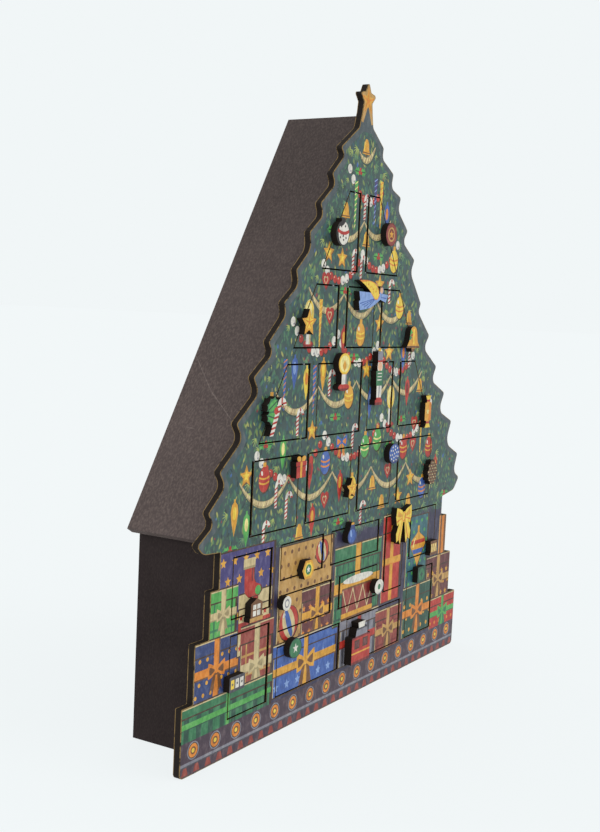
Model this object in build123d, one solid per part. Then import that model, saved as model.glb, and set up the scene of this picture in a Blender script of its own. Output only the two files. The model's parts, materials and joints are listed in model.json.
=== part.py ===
from build123d import *
from dataclasses import dataclass
from math import cos, hypot, pi, sin
import os

# Wooden advent calendar: a tree-shaped front sheet with 24 hinged doors on a house-shaped box.
# Millimetres, +Z up, front towards -Y. The origin is under the middle of the whole calendar.

# Front sheet
PANEL_WIDTH = 394.0
PANEL_HEIGHT = 450.0
PANEL_THICK = 5.0
FOOT_RADIUS = 3.5
STEP_RADIUS = 0.8
BRANCH_TIP_RADIUS = 2.0
BRANCH_VALLEY_RADIUS = 10.0
NECK_RADIUS = 4.0
STAR_RADIUS = 12.4
STAR_TIP_RADIUS = 1.4

# House-shaped box behind the sheet
BOX_DEPTH = 63.7
WALL_INSET = 39.0
WALL_THICK = 6.0
ROOF_THICK = 6.0
RIDGE_DROP = 21.5
EAVE_HEIGHT = 142.5
EAVE_REACH = 13.0
BASE_THICK = 6.0
BACK_THICK = 3.0
BOARD_THICK = 4.0

# Doors, sawn out of the front sheet
DOOR_LAND = 3.0
TOP_DOOR_DROP = 55.5
SILL_HEIGHT = 24.5
KERF = 1.1
HINGE_ROOM = 1.9

# Steel hinge pins in the top and bottom edges of each door, so thin that they and their holes have few flats
PIN_DIAMETER = 1.6
PIN_SIDES = 8
PIN_SEAT = 3.2
PIN_REACH = 5.0
PIN_END_ROOM = 0.3
PIN_SEAT_CLEARANCE = 0.02
PIN_RUNNING_CLEARANCE = 0.05

# Cut-out knobs glued to the doors
KNOB_THICK = 4.8
CAB_KNOB_THICK = 6.3
KNOB_CORNER_RADIUS = 1.0

# Width and height of each knob
KNOB_SIZES = {
    "snowball": (18.0, 19.0),
    "red_bauble": (17.0, 17.0),
    "gold_star": (19.0, 19.0),
    "angel": (44.0, 22.0),
    "bell": (23.0, 20.0),
    "holly": (24.0, 26.0),
    "candle": (17.0, 27.0),
    "soldier": (11.0, 40.0),
    "cracker": (11.0, 26.0),
    "parcel": (13.0, 15.0),
    "small_star": (15.5, 15.5),
    "blue_bauble": (18.0, 15.5),
    "pine_cone": (18.0, 21.0),
    "window": (15.0, 15.0),
    "block": (17.0, 10.0),
    "lantern": (16.0, 13.0),
    "pompom": (10.5, 10.0),
    "green_bauble": (16.0, 14.0),
    "drop": (13.5, 16.0),
    "white_ball": (14.0, 11.5),
    "bow": (27.0, 30.0),
    "engine_cab": (28.0, 31.0),
    "drum": (13.0, 12.0),
    "button": (14.0, 13.0),
}

# Middle of each knob, as shares of its door's width and height from the lower left
KNOB_PLACE_SHARES = {
    "snowball": (0.36, 0.465),
    "red_bauble": (0.57, 0.535),
    "gold_star": (0.18, 0.385),
    "angel": (0.752, 0.885),
    "bell": (0.865, 0.14),
    "holly": (0.195, 0.35),
    "candle": (0.46, 0.89),
    "soldier": (0.2, 0.775),
    "cracker": (0.8, 0.185),
    "parcel": (0.93, 0.86),
    "small_star": (0.93, 0.39),
    "blue_bauble": (0.94, 0.82),
    "pine_cone": (0.945, 0.38),
    "window": (0.5, 0.07),
    "block": (0.05, 0.45),
    "lantern": (0.53, 0.14),
    "pompom": (0.03, 0.84),
    "green_bauble": (0.19, 0.93),
    "drop": (0.31, 0.88),
    "white_ball": (0.94, 0.32),
    "bow": (0.672, 0.87),
    "engine_cab": (0.14, 0.48),
    "drum": (0.8, 0.1),
    "button": (0.37, 0.94),
}

# One overrun for all cuts
OVERRUN = 1.0

# Outline of the front sheet, as shares of its width from the left edge and of its height
LEFT_STEP_SHARES = ((0.0, 0.098), (0.028, 0.181), (0.0645, 0.249), (0.0865, 0.301))
RIGHT_STEP_SHARES = ((1.0, 0.107), (0.9645, 0.189), (0.935, 0.264), (0.908, 0.3015))
LEFT_TIP_SHARES = (
    (0.024, 0.3170), (0.050, 0.3590), (0.076, 0.4130), (0.117, 0.4780), (0.160, 0.5415), (0.200, 0.5920),
    (0.241, 0.6490), (0.275, 0.6980), (0.313, 0.7560), (0.344, 0.8010), (0.379, 0.8490), (0.405, 0.8915),
)
LEFT_VALLEY_SHARES = (
    (0.065, 0.3410), (0.093, 0.3925), (0.135, 0.4560), (0.177, 0.5190), (0.212, 0.5750), (0.248, 0.6310),
    (0.283, 0.6760), (0.318, 0.7310), (0.354, 0.7830), (0.390, 0.8330), (0.418, 0.8800),
)
RIGHT_TIP_SHARES = (
    (0.988, 0.3310), (0.974, 0.3780), (0.932, 0.4430), (0.888, 0.4980), (0.841, 0.5475), (0.799, 0.6040),
    (0.752, 0.6600), (0.713, 0.7345), (0.677, 0.7820), (0.641, 0.8350), (0.6055, 0.8705), (0.561, 0.9080),
)
RIGHT_VALLEY_SHARES = (
    (0.958, 0.3445), (0.909, 0.4020), (0.8655, 0.4650), (0.8225, 0.5220), (0.777, 0.5810), (0.7425, 0.6450),
    (0.699, 0.7120), (0.659, 0.7620), (0.632, 0.8135), (0.599, 0.8475), (0.558, 0.8905),
)
LEFT_HEM_SHARES = (0.040, 0.3035)
RIGHT_HEM_SHARES = (0.964, 0.3085)
LEFT_NECK_SHARES = (0.4665, 0.9290)
RIGHT_NECK_SHARES = (0.5170, 0.9340)
STAR_CENTRE_SHARE = 0.4935
STAR_INNER_SHARE = 0.52
STAR_POINTS = 5

# Inner boards: dividers as shares of the sheet's width, shelves as shares of its height
TREE_SHELF_SHARES = (0.301, 0.434, 0.571, 0.692)
TREE_DIVIDER_SHARES = ((0.3235, 0.5075, 0.670), (0.347, 0.534, 0.661), (0.435, 0.5685), (0.4975,))
LEFT_COLUMN_SHARE = 0.2518
RIGHT_COLUMN_SHARE = 0.7425
LEFT_SHELF_SHARE = 0.1878
RIGHT_SHELF_SHARE = 0.1889
UPPER_SHELF_SHARE = 0.2225
LOWER_SHELF_SHARE = 0.1444
PARCEL_DIVIDER_SHARE = 0.6345
UPPER_DIVIDER_SHARE = 0.4215
MIDDLE_DIVIDER_SHARE = 0.457
LOWER_DIVIDER_SHARE = 0.495

# Places along the depth, front to back
DEPTH = CAB_KNOB_THICK + PANEL_THICK + BOX_DEPTH
PANEL_FRONT = CAB_KNOB_THICK - DEPTH / 2
PANEL_MIDDLE = PANEL_FRONT + PANEL_THICK / 2
PANEL_BACK = PANEL_FRONT + PANEL_THICK
BOX_BACK = DEPTH / 2
BACK_FRONT = BOX_BACK - BACK_THICK

# Box and roof lines, hung from the top of the sheet
RIDGE_HEIGHT = PANEL_HEIGHT - RIDGE_DROP
TOP_DOOR_HEIGHT = RIDGE_HEIGHT - TOP_DOOR_DROP
WALL_OUTER = PANEL_WIDTH / 2 - WALL_INSET
WALL_INNER = WALL_OUTER - WALL_THICK
ROOF_RUN = WALL_OUTER + EAVE_REACH
ROOF_RISE = RIDGE_HEIGHT - EAVE_HEIGHT
ROOF_LENGTH = hypot(ROOF_RUN, ROOF_RISE)
ROOF_SIDE_SHARE = ROOF_RUN / ROOF_RISE
ROOF_LEVEL_THICK = ROOF_THICK * ROOF_LENGTH / ROOF_RISE

# The pin stands in the middle of the sheet, as far in from the hinged edge, so the square edge can turn
HINGE_SETBACK = PANEL_THICK / 2
HINGE_GAP = hypot(HINGE_SETBACK, PANEL_THICK / 2) - HINGE_SETBACK + HINGE_ROOM


@dataclass(frozen=True)
class Cell:
    """One compartment: its side lines, each as X at the floor and at the ceiling, and its heights."""

    left: tuple
    right: tuple
    floor: float
    ceiling: float


@dataclass(frozen=True)
class Door:
    """One door: its number, its compartment, its hinged side and its knob."""

    number: int
    cell: Cell
    hinge: str
    knob: str
    shape: object

    @property
    def name(self):
        """Node name of the door."""
        return f"door_{self.number:02d}"

    @property
    def knob_name(self):
        """Node name of the knob on the door."""
        return f"knob_{self.number:02d}_{self.knob}"


def level(share):
    """Height of a share of the front sheet."""
    return share * PANEL_HEIGHT


def across(share):
    """X of a share of the front sheet's width."""
    return (share - 0.5) * PANEL_WIDTH


def panel_point(shares):
    """Point of the front sheet from its width and height shares."""
    return across(shares[0]), level(shares[1])


def roof_outer(height):
    """Distance from the middle to the outer face of the roof."""
    return (RIDGE_HEIGHT - height) * ROOF_SIDE_SHARE


def roof_inner(height):
    """Distance from the middle to the inner face of the roof."""
    return roof_outer(height) - ROOF_LEVEL_THICK


def roof_under(distance):
    """Height of the inner face of the roof at a distance from the middle."""
    return RIDGE_HEIGHT - (distance + ROOF_LEVEL_THICK) / ROOF_SIDE_SHARE


def prism(outline, front, depth):
    """Solid of an upright outline, from its front face towards the back."""
    plane = Plane(origin=(0, front, 0), x_dir=(1, 0, 0), z_dir=(0, -1, 0))
    return extrude(plane * outline, amount=depth, dir=(0, 1, 0))


def solid_polygon(points, front, depth):
    """Solid of a straight-sided upright outline."""
    return prism(Polygon(*points), front, depth)


def pin_bar(x, low, high, radius):
    """Upright bar in the middle of the sheet's thickness, with a radius to its corners."""
    return extrude(Pos(x, PANEL_MIDDLE, low) * RegularPolygon(radius, PIN_SIDES), amount=high - low)


# Compartments

def side_at(side, cell, height):
    """X of a side line at a height."""
    rise = (height - cell.floor) / (cell.ceiling - cell.floor)
    return side[0] + (side[1] - side[0]) * rise


def side_stretch(side, cell):
    """Level distance per square distance from a side line."""
    return hypot(1, (side[1] - side[0]) / (cell.ceiling - cell.floor))


def inset_corners(cell, left, right, rim):
    """Corners of a compartment's outline, drawn in by a left, a right and a floor-and-ceiling distance."""
    low = cell.floor + rim
    high = cell.ceiling - rim
    left_shift = left * side_stretch(cell.left, cell)
    right_shift = right * side_stretch(cell.right, cell)
    return (
        (side_at(cell.left, cell, low) + left_shift, low),
        (side_at(cell.right, cell, low) - right_shift, low),
        (side_at(cell.right, cell, high) - right_shift, high),
        (side_at(cell.left, cell, high) + left_shift, high),
    )


def row_heights(top):
    """Floors and ceilings of the tree rows from the lowest, the topmost ending at a height of its own."""
    half = BOARD_THICK / 2
    floors = [level(share) + half for share in TREE_SHELF_SHARES]
    ceilings = [level(share) - half for share in TREE_SHELF_SHARES[1:]] + [top]
    return zip(floors, ceilings)


def tree_cells():
    """Compartments of the tree rows, by row from the lowest, with the roof or dividers at their sides."""
    rows = []
    for shares, (floor, ceiling) in zip(TREE_DIVIDER_SHARES, row_heights(TOP_DOOR_HEIGHT + DOOR_LAND)):
        square = not rows
        foot = roof_inner(ceiling - DOOR_LAND) if square else roof_inner(floor)
        head = foot if square else roof_inner(ceiling)
        sides = [((-foot, -head), (-foot, -head))]
        for share in shares:
            x = across(share)
            before = x - BOARD_THICK / 2
            after = x + BOARD_THICK / 2
            sides.append(((before, before), (after, after)))
        sides.append(((foot, head), (foot, head)))
        rows.append([Cell(a[1], b[0], floor, ceiling) for a, b in zip(sides, sides[1:])])
    return rows


def lower_cell(left, right, floor, ceiling):
    """Compartment of the lower part between upright sides."""
    return Cell((left, left), (right, right), floor, ceiling)


def lower_cells():
    """Compartments below the tree, by a short name each."""
    half = BOARD_THICK / 2
    sill = SILL_HEIGHT - DOOR_LAND
    top = level(TREE_SHELF_SHARES[0]) - half
    first = across(LEFT_COLUMN_SHARE)
    last = across(RIGHT_COLUMN_SHARE)
    parcel = across(PARCEL_DIVIDER_SHARE)
    upper = across(UPPER_DIVIDER_SHARE)
    middle = across(MIDDLE_DIVIDER_SHARE)
    lower = across(LOWER_DIVIDER_SHARE)
    high = level(UPPER_SHELF_SHARE)
    low = level(LOWER_SHELF_SHARE)
    left_shelf = level(LEFT_SHELF_SHARE)
    right_shelf = level(RIGHT_SHELF_SHARE)
    return {
        "left_high": lower_cell(-WALL_INNER, first - half, left_shelf + half, top),
        "left_low": lower_cell(-WALL_INNER, first - half, sill, left_shelf - half),
        "tan_high": lower_cell(first + half, upper - half, high + half, top),
        "tan_mid": lower_cell(first + half, middle - half, low + half, high - half),
        "sled_low": lower_cell(first + half, lower - half, sill, low - half),
        "green_high": lower_cell(upper + half, parcel - half, high + half, top),
        "green_mid": lower_cell(middle + half, parcel - half, low + half, high - half),
        "parcel": lower_cell(parcel + half, last - half, low + half, top),
        "cab_low": lower_cell(lower + half, last - half, sill, low - half),
        "right_high": lower_cell(last + half, WALL_INNER, right_shelf + half, top),
        "right_low": lower_cell(last + half, WALL_INNER, sill, right_shelf - half),
    }


# Knob outlines, each in its own width and height about its middle

def scaled(width, height, shares):
    """Straight-sided outline from shares of a width and a height."""
    return Polygon(*[(width * x, height * z) for x, z in shares])


def moved(width, height, shares, outline):
    """Outline moved by shares of a width and a height."""
    return Pos(width * shares[0], height * shares[1]) * outline


def mirrored(shares):
    """Shares of the same outline, seen in a mirror."""
    return tuple((-x, z) for x, z in reversed(shares))


def disc(width, height):
    """Round or oval knob."""
    return Ellipse(width / 2, height / 2)


def bauble(width, height):
    """Round ornament with its hanger cap."""
    cap_share = 0.28
    ball_share = 0.9
    ball = Pos(0, height * (ball_share - 1) / 2) * Ellipse(width / 2, height * ball_share / 2)
    cap = Rectangle(width * cap_share, height / 2, align=(Align.CENTER, Align.MIN))
    return ball + cap


def star(width, height):
    """Five-pointed star."""
    inner_share = 0.48
    points = []
    for k in range(2 * STAR_POINTS):
        reach = inner_share if k % 2 else 1
        angle = pi / 2 + k * pi / STAR_POINTS
        points.append((width / 2 * reach * cos(angle), height / 2 * reach * sin(angle)))
    return Polygon(*points)


def arced(width, height, arc_shares):
    """Curved outline from arcs, each through three points in shares of a width and a height."""
    arcs = []
    for shares in arc_shares:
        arcs.append(ThreePointArc(*[(width * x, height * z) for x, z in shares]))
    return make_face(arcs)


def angel(width, height):
    """Flying angel: flared dress and sleeve, one raised wing and a head."""
    dress_shares = (
        (-0.5, 0.12), (-0.46, -0.16), (-0.5, -0.22), (-0.46, -0.5), (-0.12, -0.41),
        (0.06, -0.28), (0.22, -0.12), (0.3, 0.08),
    )
    sleeve_shares = ((0.12, -0.1), (0.25, -0.12), (0.43, -0.2), (0.5, 0.06), (0.28, 0.09), (0.1, 0.08))
    wing_arc_shares = (
        ((-0.5, 0.47), (-0.22, 0.5), (0.0, 0.44)),
        ((0.0, 0.44), (0.14, 0.28), (0.18, 0.02)),
        ((0.18, 0.02), (0.14, -0.09), (0.04, -0.1)),
        ((0.04, -0.1), (-0.2, 0.22), (-0.5, 0.47)),
    )
    head_shares = (0.26, 0.2)
    head_radius_share = 0.14
    body = scaled(width, height, dress_shares) + scaled(width, height, sleeve_shares)
    body += arced(width, height, wing_arc_shares)
    return body + moved(width, height, head_shares, Circle(height * head_radius_share))


def bell(width, height):
    """Hand bell with a flared lip, a dome and a clapper."""
    body_shares = ((-0.5, -0.34), (0.5, -0.34), (0.32, -0.08), (0.26, 0.2), (-0.26, 0.2), (-0.32, -0.08))
    dome_place_shares = (0, 0.2)
    dome_shares = (0.26, 0.3)
    clapper_place_shares = (0, -0.36)
    clapper_share = 0.14
    dome = Ellipse(width * dome_shares[0], height * dome_shares[1])
    body = scaled(width, height, body_shares) + moved(width, height, dome_place_shares, dome)
    return body + moved(width, height, clapper_place_shares, Circle(height * clapper_share))


def leaf(length, breadth):
    """Holly leaf: spines on an oval, with hollow arcs between them."""
    spines = 8
    hollow_share = 0.78
    edges = []
    for k in range(spines):
        ends = []
        for turn in (k, k + 0.5, k + 1):
            reach = hollow_share if turn % 1 else 1
            angle = 2 * pi * turn / spines
            ends.append((length / 2 * reach * cos(angle), breadth / 2 * reach * sin(angle)))
        edges.append(ThreePointArc(*ends))
    return make_face(edges)


def holly(width, height):
    """Two holly leaves and a berry on a hooked sugar cane."""
    leaf_shares = (0.62, 0.4)
    leaf_place_shares = ((-0.21, 0.27), (-0.19, -0.03))
    leaf_tilts = (30, -14)
    berry_place_shares = (-0.02, 0.13)
    berry_share = 0.1
    stem_shares = ((-0.3, -0.5), (-0.12, -0.5), (0.235, 0.27), (0.055, 0.27))
    hook_place_shares = (0.26, 0.25)
    hook_radius_shares = (0.22, 0.05)
    outer, inner = (width * share for share in hook_radius_shares)
    hook = Circle(outer) - Circle(inner) - Rectangle(2 * outer, outer, align=(Align.CENTER, Align.MAX))
    sprig = scaled(width, height, stem_shares) + moved(width, height, hook_place_shares, hook)
    blade = leaf(width * leaf_shares[0], height * leaf_shares[1])
    for shares, tilt in zip(leaf_place_shares, leaf_tilts):
        sprig += moved(width, height, shares, Rot(0, 0, tilt) * blade)
    return sprig + moved(width, height, berry_place_shares, Circle(height * berry_share))


def candle(width, height):
    """Candle with its glow above and its clip below."""
    glow_share = 0.28
    stem_shares = ((-0.21, -0.44), (0.21, -0.44), (0.21, 0.12), (-0.21, 0.12))
    clip_shares = (0.46, 0.1)
    glow = Pos(0, height * (0.5 - glow_share)) * Ellipse(width / 2, height * glow_share)
    clip = Pos(0, height * (clip_shares[1] - 0.5)) * Ellipse(width * clip_shares[0], height * clip_shares[1])
    return glow + scaled(width, height, stem_shares) + clip


def soldier(width, height):
    """Tall toy figure: hat, head, coat, legs and plinth."""
    hat_shares = ((-0.32, 0.3), (0.32, 0.3), (0.36, 0.5), (-0.36, 0.5))
    coat_shares = ((-0.42, -0.14), (0.42, -0.14), (0.5, 0.14), (-0.5, 0.14))
    legs_shares = ((-0.32, -0.44), (0.32, -0.44), (0.36, -0.12), (-0.36, -0.12))
    plinth_shares = ((-0.5, -0.5), (0.5, -0.5), (0.5, -0.4), (-0.5, -0.4))
    head_place_shares = (0, 0.22)
    head_shares = (0.36, 0.13)
    figure = scaled(width, height, hat_shares) + scaled(width, height, coat_shares)
    figure += scaled(width, height, legs_shares) + scaled(width, height, plinth_shares)
    head = Ellipse(width * head_shares[0], height * head_shares[1])
    return figure + moved(width, height, head_place_shares, head)


def cracker(width, height):
    """Paper cracker on end: barrel, two necks and two flared frills."""
    barrel_shares = ((-0.5, -0.28), (0.5, -0.28), (0.5, 0.28), (-0.5, 0.28))
    neck_shares = ((-0.26, -0.38), (0.26, -0.38), (0.26, 0.38), (-0.26, 0.38))
    foot_shares = ((-0.44, -0.5), (0.44, -0.5), (0.2, -0.34), (-0.2, -0.34))
    head_shares = ((-0.2, 0.34), (0.2, 0.34), (0.44, 0.5), (-0.44, 0.5))
    body = scaled(width, height, barrel_shares) + scaled(width, height, neck_shares)
    return body + scaled(width, height, foot_shares) + scaled(width, height, head_shares)


def parcel(width, height):
    """Parcel with a lid and a two-looped bow."""
    box_shares = ((-0.45, -0.5), (0.45, -0.5), (0.45, 0.14), (-0.45, 0.14))
    lid_shares = ((-0.5, 0.04), (0.5, 0.04), (0.5, 0.24), (-0.5, 0.24))
    loop_shares = (0.24, 0.13)
    loop_place_shares = ((-0.2, 0.34), (0.2, 0.34))
    loop_tilts = (-24, 24)
    box = scaled(width, height, box_shares) + scaled(width, height, lid_shares)
    loop = Ellipse(width * loop_shares[0], height * loop_shares[1])
    for shares, tilt in zip(loop_place_shares, loop_tilts):
        box += moved(width, height, shares, Rot(0, 0, tilt) * loop)
    return box


def pine_cone(width, height):
    """Pine cone: an oval with rounded scales round its edge."""
    scales = 10
    core_share = 0.84
    bump_share = 0.11
    cone = Ellipse(width * core_share / 2, height * core_share / 2)
    bump = Circle(width * bump_share)
    inset = width * bump_share
    for k in range(scales):
        angle = 2 * pi * k / scales
        cone += Pos((width / 2 - inset) * cos(angle), (height / 2 - inset) * sin(angle)) * bump
    return cone


def window(width, height):
    """Little gabled window with a sill."""
    wall_shares = ((-0.44, -0.5), (0.44, -0.5), (0.44, 0.3), (0, 0.5), (-0.44, 0.3))
    sill_shares = ((-0.5, -0.5), (0.5, -0.5), (0.5, -0.3), (-0.5, -0.3))
    return scaled(width, height, wall_shares) + scaled(width, height, sill_shares)


def block(width, height):
    """Toy block with softened corners."""
    return RectangleRounded(width, height, min(KNOB_CORNER_RADIUS, height / 4))


def hexagon(width, height):
    """Six-sided lantern face."""
    shares = ((-0.5, 0), (-0.26, -0.5), (0.26, -0.5), (0.5, 0), (0.26, 0.5), (-0.26, 0.5))
    return scaled(width, height, shares)


def drop(width, height):
    """Drop-shaped ornament with its point upwards."""
    point_shares = ((-0.47, -0.1), (0.47, -0.1), (0.12, 0.5), (-0.12, 0.5))
    ball_share = 0.36
    ball = Pos(0, height * (ball_share - 0.5)) * Ellipse(width / 2, height * ball_share)
    return ball + scaled(width, height, point_shares)


def bow(width, height):
    """Ribbon bow: two loops, a knot and two hanging tails with notched ends."""
    loop_shares = ((0, 0.16), (0, 0.32), (-0.16, 0.42), (-0.46, 0.5), (-0.5, 0.24), (-0.42, 0.02))
    tail_shares = (
        (-0.02, 0.2), (-0.3, 0.06), (-0.46, -0.2), (-0.42, -0.42),
        (-0.28, -0.36), (-0.18, -0.5), (-0.1, -0.16),
    )
    knot_place_shares = (0, 0.22)
    knot_shares = (0.13, 0.14)
    knot = Ellipse(width * knot_shares[0], height * knot_shares[1])
    ribbon = moved(width, height, knot_place_shares, knot)
    for shares in (loop_shares, tail_shares):
        ribbon += scaled(width, height, shares) + scaled(width, height, mirrored(shares))
    return ribbon


def cab(width, height):
    """Toy engine's cab: red house with stepped roof line, boiler top and chimney."""
    house_shares = ((-0.5, -0.5), (0.5, -0.5), (0.5, 0.16), (-0.5, 0.16))
    boiler_shares = ((-0.34, 0.1), (0.34, 0.1), (0.3, 0.36), (-0.26, 0.36))
    chimney_shares = ((-0.14, 0.3), (0.12, 0.3), (0.2, 0.5), (-0.2, 0.5))
    body = scaled(width, height, house_shares) + scaled(width, height, boiler_shares)
    return body + scaled(width, height, chimney_shares)


def drum(width, height):
    """Toy drum: a barrel between two rims."""
    barrel_share = 0.84
    rim_share = 0.2
    rim = Rectangle(width, height * rim_share)
    rise = height * (1 - rim_share) / 2
    return Rectangle(width * barrel_share, height) + Pos(0, rise) * rim + Pos(0, -rise) * rim


def doors():
    """All 24 doors, top row first."""
    rows = tree_cells()
    low = lower_cells()
    base, third, second, top = rows
    return (
        Door(1, top[0], "right", "snowball", bauble),
        Door(2, top[1], "left", "red_bauble", disc),
        Door(3, second[0], "right", "gold_star", star),
        Door(4, second[1], "left", "angel", angel),
        Door(5, second[2], "left", "bell", bell),
        Door(6, third[0], "right", "holly", holly),
        Door(7, third[1], "right", "candle", candle),
        Door(8, third[2], "right", "soldier", soldier),
        Door(9, third[3], "left", "cracker", cracker),
        Door(10, base[0], "left", "parcel", parcel),
        Door(11, base[1], "left", "small_star", star),
        Door(12, base[2], "left", "blue_bauble", disc),
        Door(13, base[3], "left", "pine_cone", pine_cone),
        Door(14, low["left_high"], "right", "window", window),
        Door(15, low["left_low"], "right", "block", block),
        Door(16, low["tan_high"], "right", "lantern", hexagon),
        Door(17, low["tan_mid"], "right", "pompom", disc),
        Door(18, low["sled_low"], "right", "green_bauble", disc),
        Door(19, low["green_high"], "right", "drop", drop),
        Door(20, low["green_mid"], "left", "white_ball", disc),
        Door(21, low["parcel"], "left", "bow", bow),
        Door(22, low["cab_low"], "right", "engine_cab", cab),
        Door(23, low["right_high"], "left", "drum", drum),
        Door(24, low["right_low"], "right", "button", block),
    )


# Pieces

def hinge_axis(door):
    """X of a door's pins."""
    corners = door_corners(door)
    if door.hinge == "left":
        return corners[0][0] + HINGE_SETBACK
    return corners[1][0] - HINGE_SETBACK


def opening_corners(door):
    """Corners of the opening that a door fills, a land inside its compartment."""
    return inset_corners(door.cell, DOOR_LAND, DOOR_LAND, DOOR_LAND)


def door_corners(door):
    """Corners of a door: a saw cut inside its opening, with a wider gap on its hinged side."""
    left_gap = HINGE_GAP if door.hinge == "left" else KERF
    right_gap = HINGE_GAP if door.hinge == "right" else KERF
    return inset_corners(door.cell, DOOR_LAND + left_gap, DOOR_LAND + right_gap, DOOR_LAND + KERF)


def knob_place(door):
    """Middle of a door's knob."""
    corners = door_corners(door)
    xs = [point[0] for point in corners]
    zs = [point[1] for point in corners]
    x_share, z_share = KNOB_PLACE_SHARES[door.knob]
    return min(xs) + (max(xs) - min(xs)) * x_share, min(zs) + (max(zs) - min(zs)) * z_share


def panel_outline():
    """Outline of the front sheet: parcels at the foot, scalloped branches and the tree-top star."""
    points = [(-PANEL_WIDTH / 2, 0), (PANEL_WIDTH / 2, 0)]
    radii = [FOOT_RADIUS, FOOT_RADIUS]

    def add(point, radius):
        points.append(point)
        radii.append(radius)

    for here, after in zip(RIGHT_STEP_SHARES, RIGHT_STEP_SHARES[1:]):
        add(panel_point(here), STEP_RADIUS)
        add((across(after[0]), level(here[1])), STEP_RADIUS)
    add(panel_point(RIGHT_STEP_SHARES[-1]), STEP_RADIUS)
    add(panel_point(RIGHT_HEM_SHARES), BRANCH_VALLEY_RADIUS)
    for tip, valley in zip(RIGHT_TIP_SHARES, RIGHT_VALLEY_SHARES):
        add(panel_point(tip), BRANCH_TIP_RADIUS)
        add(panel_point(valley), BRANCH_VALLEY_RADIUS)
    add(panel_point(RIGHT_TIP_SHARES[-1]), BRANCH_TIP_RADIUS)
    add(panel_point(RIGHT_NECK_SHARES), NECK_RADIUS)
    star_x = across(STAR_CENTRE_SHARE)
    star_z = PANEL_HEIGHT - STAR_RADIUS + star_tip_loss()
    for k in range(2 * STAR_POINTS - 1):
        reach = STAR_RADIUS * (STAR_INNER_SHARE if k % 2 else 1)
        angle = (k + 0.5) * pi / STAR_POINTS - pi / 2 + pi / (2 * STAR_POINTS)
        add((star_x + reach * cos(angle), star_z + reach * sin(angle)), STAR_TIP_RADIUS)
    add(panel_point(LEFT_NECK_SHARES), NECK_RADIUS)
    add(panel_point(LEFT_TIP_SHARES[-1]), BRANCH_TIP_RADIUS)
    for tip, valley in reversed(list(zip(LEFT_TIP_SHARES, LEFT_VALLEY_SHARES))):
        add(panel_point(valley), BRANCH_VALLEY_RADIUS)
        add(panel_point(tip), BRANCH_TIP_RADIUS)
    add(panel_point(LEFT_HEM_SHARES), BRANCH_VALLEY_RADIUS)
    add(panel_point(LEFT_STEP_SHARES[-1]), STEP_RADIUS)
    for here, below in reversed(list(zip(LEFT_STEP_SHARES[1:], LEFT_STEP_SHARES))):
        add((across(here[0]), level(below[1])), STEP_RADIUS)
        add(panel_point(below), STEP_RADIUS)
    return make_face(FilletPolyline(*points, radius=fitted_radii(points, radii), close=True))


def star_tip_loss():
    """Height that the rounding takes off the star's top point."""
    turn = pi / STAR_POINTS
    rise = 1 - STAR_INNER_SHARE * cos(turn)
    run = STAR_INNER_SHARE * sin(turn)
    return STAR_TIP_RADIUS * (hypot(rise, run) / run - 1)


def fitted_radii(points, radii):
    """Corner radii, each held to what its two edges leave room for."""
    edge_share = 0.46
    fitted = []
    for k, radius in enumerate(radii):
        here = Vector(*points[k])
        before = Vector(*points[k - 1]) - here
        after = Vector(*points[(k + 1) % len(points)]) - here
        half_angle = before.get_angle(after) / 2 * pi / 180
        room = min(before.length, after.length) * edge_share * sin(half_angle) / cos(half_angle)
        fitted.append(min(radius, room))
    return fitted


def pin_spans(door):
    """Lower and upper heights of a door's two pins."""
    foot = door.cell.floor + DOOR_LAND
    head = door.cell.ceiling - DOOR_LAND
    return (foot - PIN_SEAT, foot + KERF + PIN_REACH), (head - KERF - PIN_REACH, head + PIN_SEAT)


def make_front_panel(all_doors):
    """Front sheet with its door openings and the blind holes that hold the pins."""
    panel = prism(panel_outline(), PANEL_FRONT, PANEL_THICK)
    cuts = []
    for door in all_doors:
        cuts.append(solid_polygon(opening_corners(door), PANEL_FRONT - OVERRUN, PANEL_THICK + 2 * OVERRUN))
        for low, high in pin_spans(door):
            cuts.append(pin_bar(hinge_axis(door), low, high, PIN_DIAMETER / 2 + PIN_SEAT_CLEARANCE))
    return panel - cuts


def make_door(door):
    """Door with the running bores for its pins."""
    leaf_solid = solid_polygon(door_corners(door), PANEL_FRONT, PANEL_THICK)
    (_, lower_end), (upper_end, _) = pin_spans(door)
    foot = door.cell.floor
    head = door.cell.ceiling
    radius = (PIN_DIAMETER / 2 + PIN_RUNNING_CLEARANCE) / cos(pi / PIN_SIDES)
    bores = [
        pin_bar(hinge_axis(door), foot, lower_end + PIN_END_ROOM, radius),
        pin_bar(hinge_axis(door), upper_end - PIN_END_ROOM, head, radius),
    ]
    return leaf_solid - bores


def make_knob(door):
    """Knob glued to the face of a door."""
    thick = CAB_KNOB_THICK if door.shape is cab else KNOB_THICK
    outline = Pos(*knob_place(door)) * door.shape(*KNOB_SIZES[door.knob])
    return prism(outline, PANEL_FRONT - thick, thick)


def make_hinge_pins(all_doors):
    """Two steel pins for each door."""
    pins = []
    for door in all_doors:
        for low, high in pin_spans(door):
            pins.append(pin_bar(hinge_axis(door), low, high, PIN_DIAMETER / 2))
    return Compound(children=pins)


def make_roof(side):
    """One roof board, mitred at the ridge and cut square at the eave."""
    slope_x = ROOF_RISE / ROOF_LENGTH
    slope_z = ROOF_RUN / ROOF_LENGTH
    points = [
        (0, RIDGE_HEIGHT),
        (side * ROOF_RUN, EAVE_HEIGHT),
        (side * (ROOF_RUN - ROOF_THICK * slope_x), EAVE_HEIGHT - ROOF_THICK * slope_z),
        (0, roof_under(0)),
    ]
    return solid_polygon(points, PANEL_BACK, BOX_DEPTH)


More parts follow.
